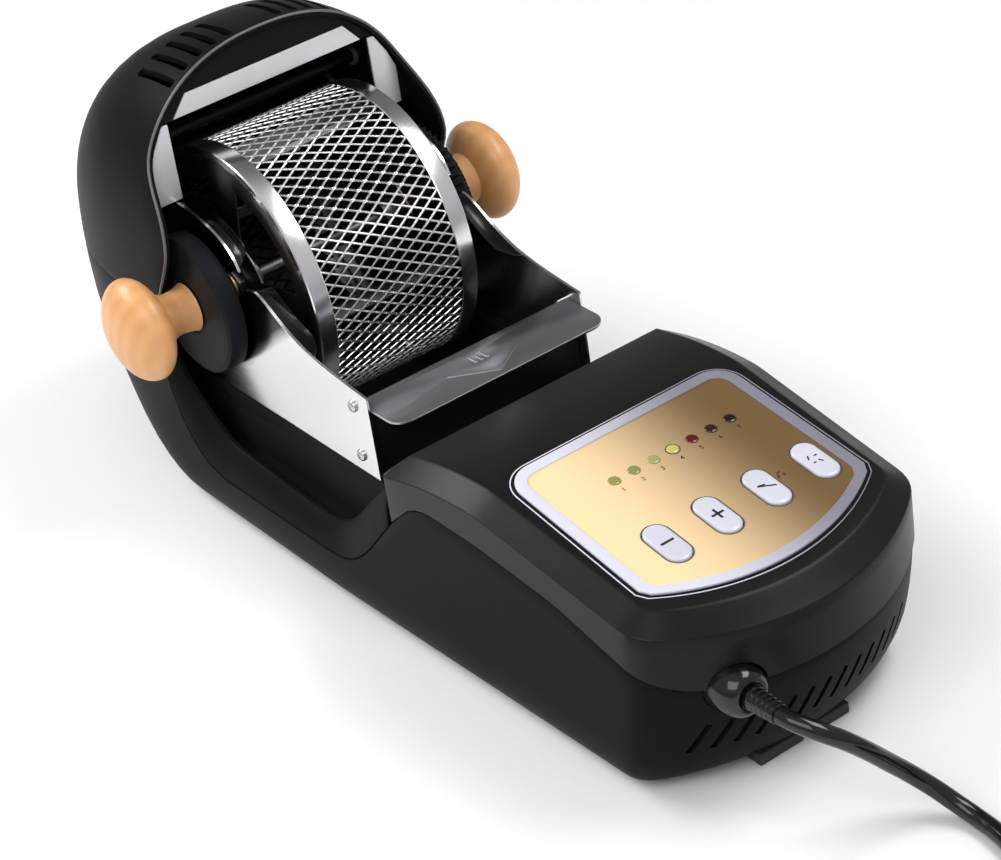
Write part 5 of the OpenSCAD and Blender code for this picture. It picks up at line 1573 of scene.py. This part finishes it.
class ROASTER_OT_panel(bpy.types.Operator):
    """Gold fascia with its silver frame, lamps, numbers and buttons"""

    bl_idname = "roaster.panel"
    bl_label = "Control Panel"

    def execute(self, context):
        self.fascia()
        self.bezel()
        self.lamps()
        self.buttons()
        return {"FINISHED"}

    def fascia(self):
        sheet = slab(panel_outline(BEZEL - 0.4), 0.05, SHEET_TOP, on_deck)
        holes = [slab(button_outline(x, 0.42), -3, 4, on_deck) for x in BUTTON_X]
        keep("gold_fascia", cut_by(sheet, joined(holes)), "gilt_sheet", "fascia", smooth=30)

    def bezel(self):
        ring = ring_slab(panel_outline(0.0), panel_outline(BEZEL), 0.08, 1.6, on_deck)
        keep("silver_frame", edged(ring, 0.45, 3), "bezel_paint", "bezel")
        keep("frame_groove", ring_slab(panel_outline(-1.6), panel_outline(-0.05), 0.06, 0.35, on_deck),
             "inner_moulding")
        line = ring_slab(panel_outline(-2.3), panel_outline(-1.65), 0.06, 0.5, on_deck)
        keep("outer_line", edged(line, 0.12, 1), "bezel_paint")

    def lamps(self):
        """Seven lenses with their numbers, a ring round the fourth and three strokes by the third button."""
        marks = []
        for k, x in enumerate(LAMP_X):
            outline = lamp_outline(0, -0.1, 14)
            rows = [[on_deck(x + u * share, LAMP_ROW + (v - LAMP_ROW) * share, level) for u, v in outline]
                    for level, share in ((-7.0, 1.0), (SHEET_TOP, 1.0), (1.2, 0.97), (1.45, 0.85),
                                         (1.6, 0.6), (1.65, 0.3))]
            number = str(k + 1)
            keep("lamp_" + number, mesh_of(*grid(rows, True, True)), "lens_" + number,
                 *(["level_lamps"] if k == 0 else []), smooth=50)
            if k == 3:
                marks.append(ring_slab(lamp_outline(x, 0.35), lamp_outline(x, 0.0), SHEET_TOP, 1.08,
                                       on_deck))
            marks.append(self.numeral(number, x - 0.5, LAMP_ROW - 8.4))
        for length, tilt, u, v in ((2.4, 60, 30.6, -78.6), (1.8, 15, 32.2, -76.4), (1.5, 80, 33.6, -78.8)):
            marks.append(slab(moved(turned(bar(length, 0.8), tilt), u, v), 0.9, 1.04, on_deck))
        keep("lamp_marks", joined(marks), "ink", slot="lamp_lens")

    def numeral(self, text, u, v):
        data = bpy.data.curves.new("numeral", "FONT")
        data.body = text
        data.size = 3.6 * MM
        data.extrude = 0.05 * MM
        data.align_x = "CENTER"
        mesh = as_mesh(linked("numeral", data))
        for vertex in mesh.vertices:
            p = vertex.co / MM
            vertex.co = at(*on_deck(u + p.x, v + p.y, 1.0 + p.z))
        return mesh

    def buttons(self):
        """Caps with their marks, each on its own body, and dark rings round them: painted shade about each
        button.
        """
        glyphs = [
            [(7.2, 1.25, 0, 0, 0)],
            [(6.8, 1.2, 0, 0, 0), (1.2, 6.8, 0, 0, 0)],
            [(9.0, 0.8, -29, 0, 0), (3.4, 0.7, -14, -1.6, 1.8)],
            [(2.6, 0.7, 60, -2.2, 2.4), (1.6, 0.7, 0, 1.8, 2.0), (2.4, 0.7, 120, 1.4, -2.2),
             (1.4, 0.7, 0, -1.8, -1.8)],
        ]
        for node, x, strokes in zip(BUTTONS, BUTTON_X, glyphs):
            rows = [[on_deck(u, v, level) for u, v in button_outline(x, grow, 16)]
                    for level, grow in ((-5.2, -3.0), (-4.2, -0.2), (-3.9, 0.0), (1.3, 0.0), (1.75, -0.25),
                                        (2.05, -0.8), (2.18, -1.7), (2.1, -3.4))]
            keep(node + "_cap", mesh_of(*grid(rows, True, True)), "button_cap", node, body=BODY_OF[node],
                 smooth=50)
            marks = [slab(moved(turned(bar(width, height), tilt), x + u, BUTTON_ROW + v), 2.0, 2.24,
                          on_deck)
                     for width, height, tilt, u, v in strokes]
            keep(node + "_mark", joined(marks), "ink", body=BODY_OF[node])
        # Painted shade: a dark ring on the fascia round each button.
        gap_rings = [ring_slab(button_outline(x, 0.95, 16), button_outline(x, 0.42, 16), SHEET_TOP, 1.1,
                           on_deck)
                 for x in BUTTON_X]
        keep("button_seats", joined(gap_rings), "seat_grey")


class ROASTER_OT_inner(bpy.types.Operator):
    """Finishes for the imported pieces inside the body"""

    bl_idname = "roaster.inner"
    bl_label = "Inner Parts"

    def execute(self, context):
        for finish_name, *nodes in (
            ("screw_plate", "idler_axle", "base_screws"),
            ("motor_can", "gear_motor", "motor_bracket", "thermal_cutout"),
            ("green_board", "control_board"),
            ("brown_board", "power_board"),
            ("component_cases", "power_parts"),
            ("inner_moulding", "key_switches", "board_posts", "fan_frame"),
            ("gear_moulding", "fan_rotor"),
        ):
            for node in nodes:
                materials = frame["nodes"][node].data.materials
                if not materials:
                    materials.append(None)
                for k in range(len(materials)):
                    materials[k] = finish(finish_name)[0]
        return {"FINISHED"}


class ROASTER_PT_panel(bpy.types.Panel):
    """Lists the roaster's pieces"""

    bl_idname = "ROASTER_PT_panel"
    bl_label = "Roaster"
    bl_space_type = "VIEW_3D"
    bl_region_type = "UI"
    bl_category = "Roaster"

    def draw(self, context):
        for operator in OPERATORS:
            self.layout.operator(operator.bl_idname)
        scene = context.scene
        for group in (scene.roaster_sizes, scene.roaster_colours, scene.roaster_stage):
            for name in group.bl_rna.properties.keys():
                if name not in ("rna_type", "name"):
                    self.layout.prop(group, name)


GROUPS = (RoasterSizes, RoasterColours, StageSettings)
OPERATORS = (ROASTER_OT_stage, ROASTER_OT_cord, ROASTER_OT_tub, ROASTER_OT_hood, ROASTER_OT_cover,
             ROASTER_OT_rails, ROASTER_OT_chamber, ROASTER_OT_drum, ROASTER_OT_knobs, ROASTER_OT_panel,
             ROASTER_OT_inner)


def register():
    for cls in GROUPS + OPERATORS + (ROASTER_PT_panel,):
        bpy.utils.register_class(cls)
    bpy.types.Scene.roaster_sizes = PointerProperty(type=RoasterSizes)
    bpy.types.Scene.roaster_colours = PointerProperty(type=RoasterColours)
    bpy.types.Scene.roaster_stage = PointerProperty(type=StageSettings)


def unregister():
    for name in ("roaster_sizes", "roaster_colours", "roaster_stage"):
        delattr(bpy.types.Scene, name)
    for cls in reversed(GROUPS + OPERATORS + (ROASTER_PT_panel,)):
        bpy.utils.unregister_class(cls)


def main():
    register()
    bpy.ops.roaster.stage()
    bpy.ops.roaster.cord()
    bpy.ops.roaster.tub()
    bpy.ops.roaster.hood()
    bpy.ops.roaster.cover()
    bpy.ops.roaster.rails()
    bpy.ops.roaster.chamber()
    bpy.ops.roaster.drum()
    bpy.ops.roaster.knobs()
    bpy.ops.roaster.panel()
    bpy.ops.roaster.inner()


if __name__ == "__main__":
    main()
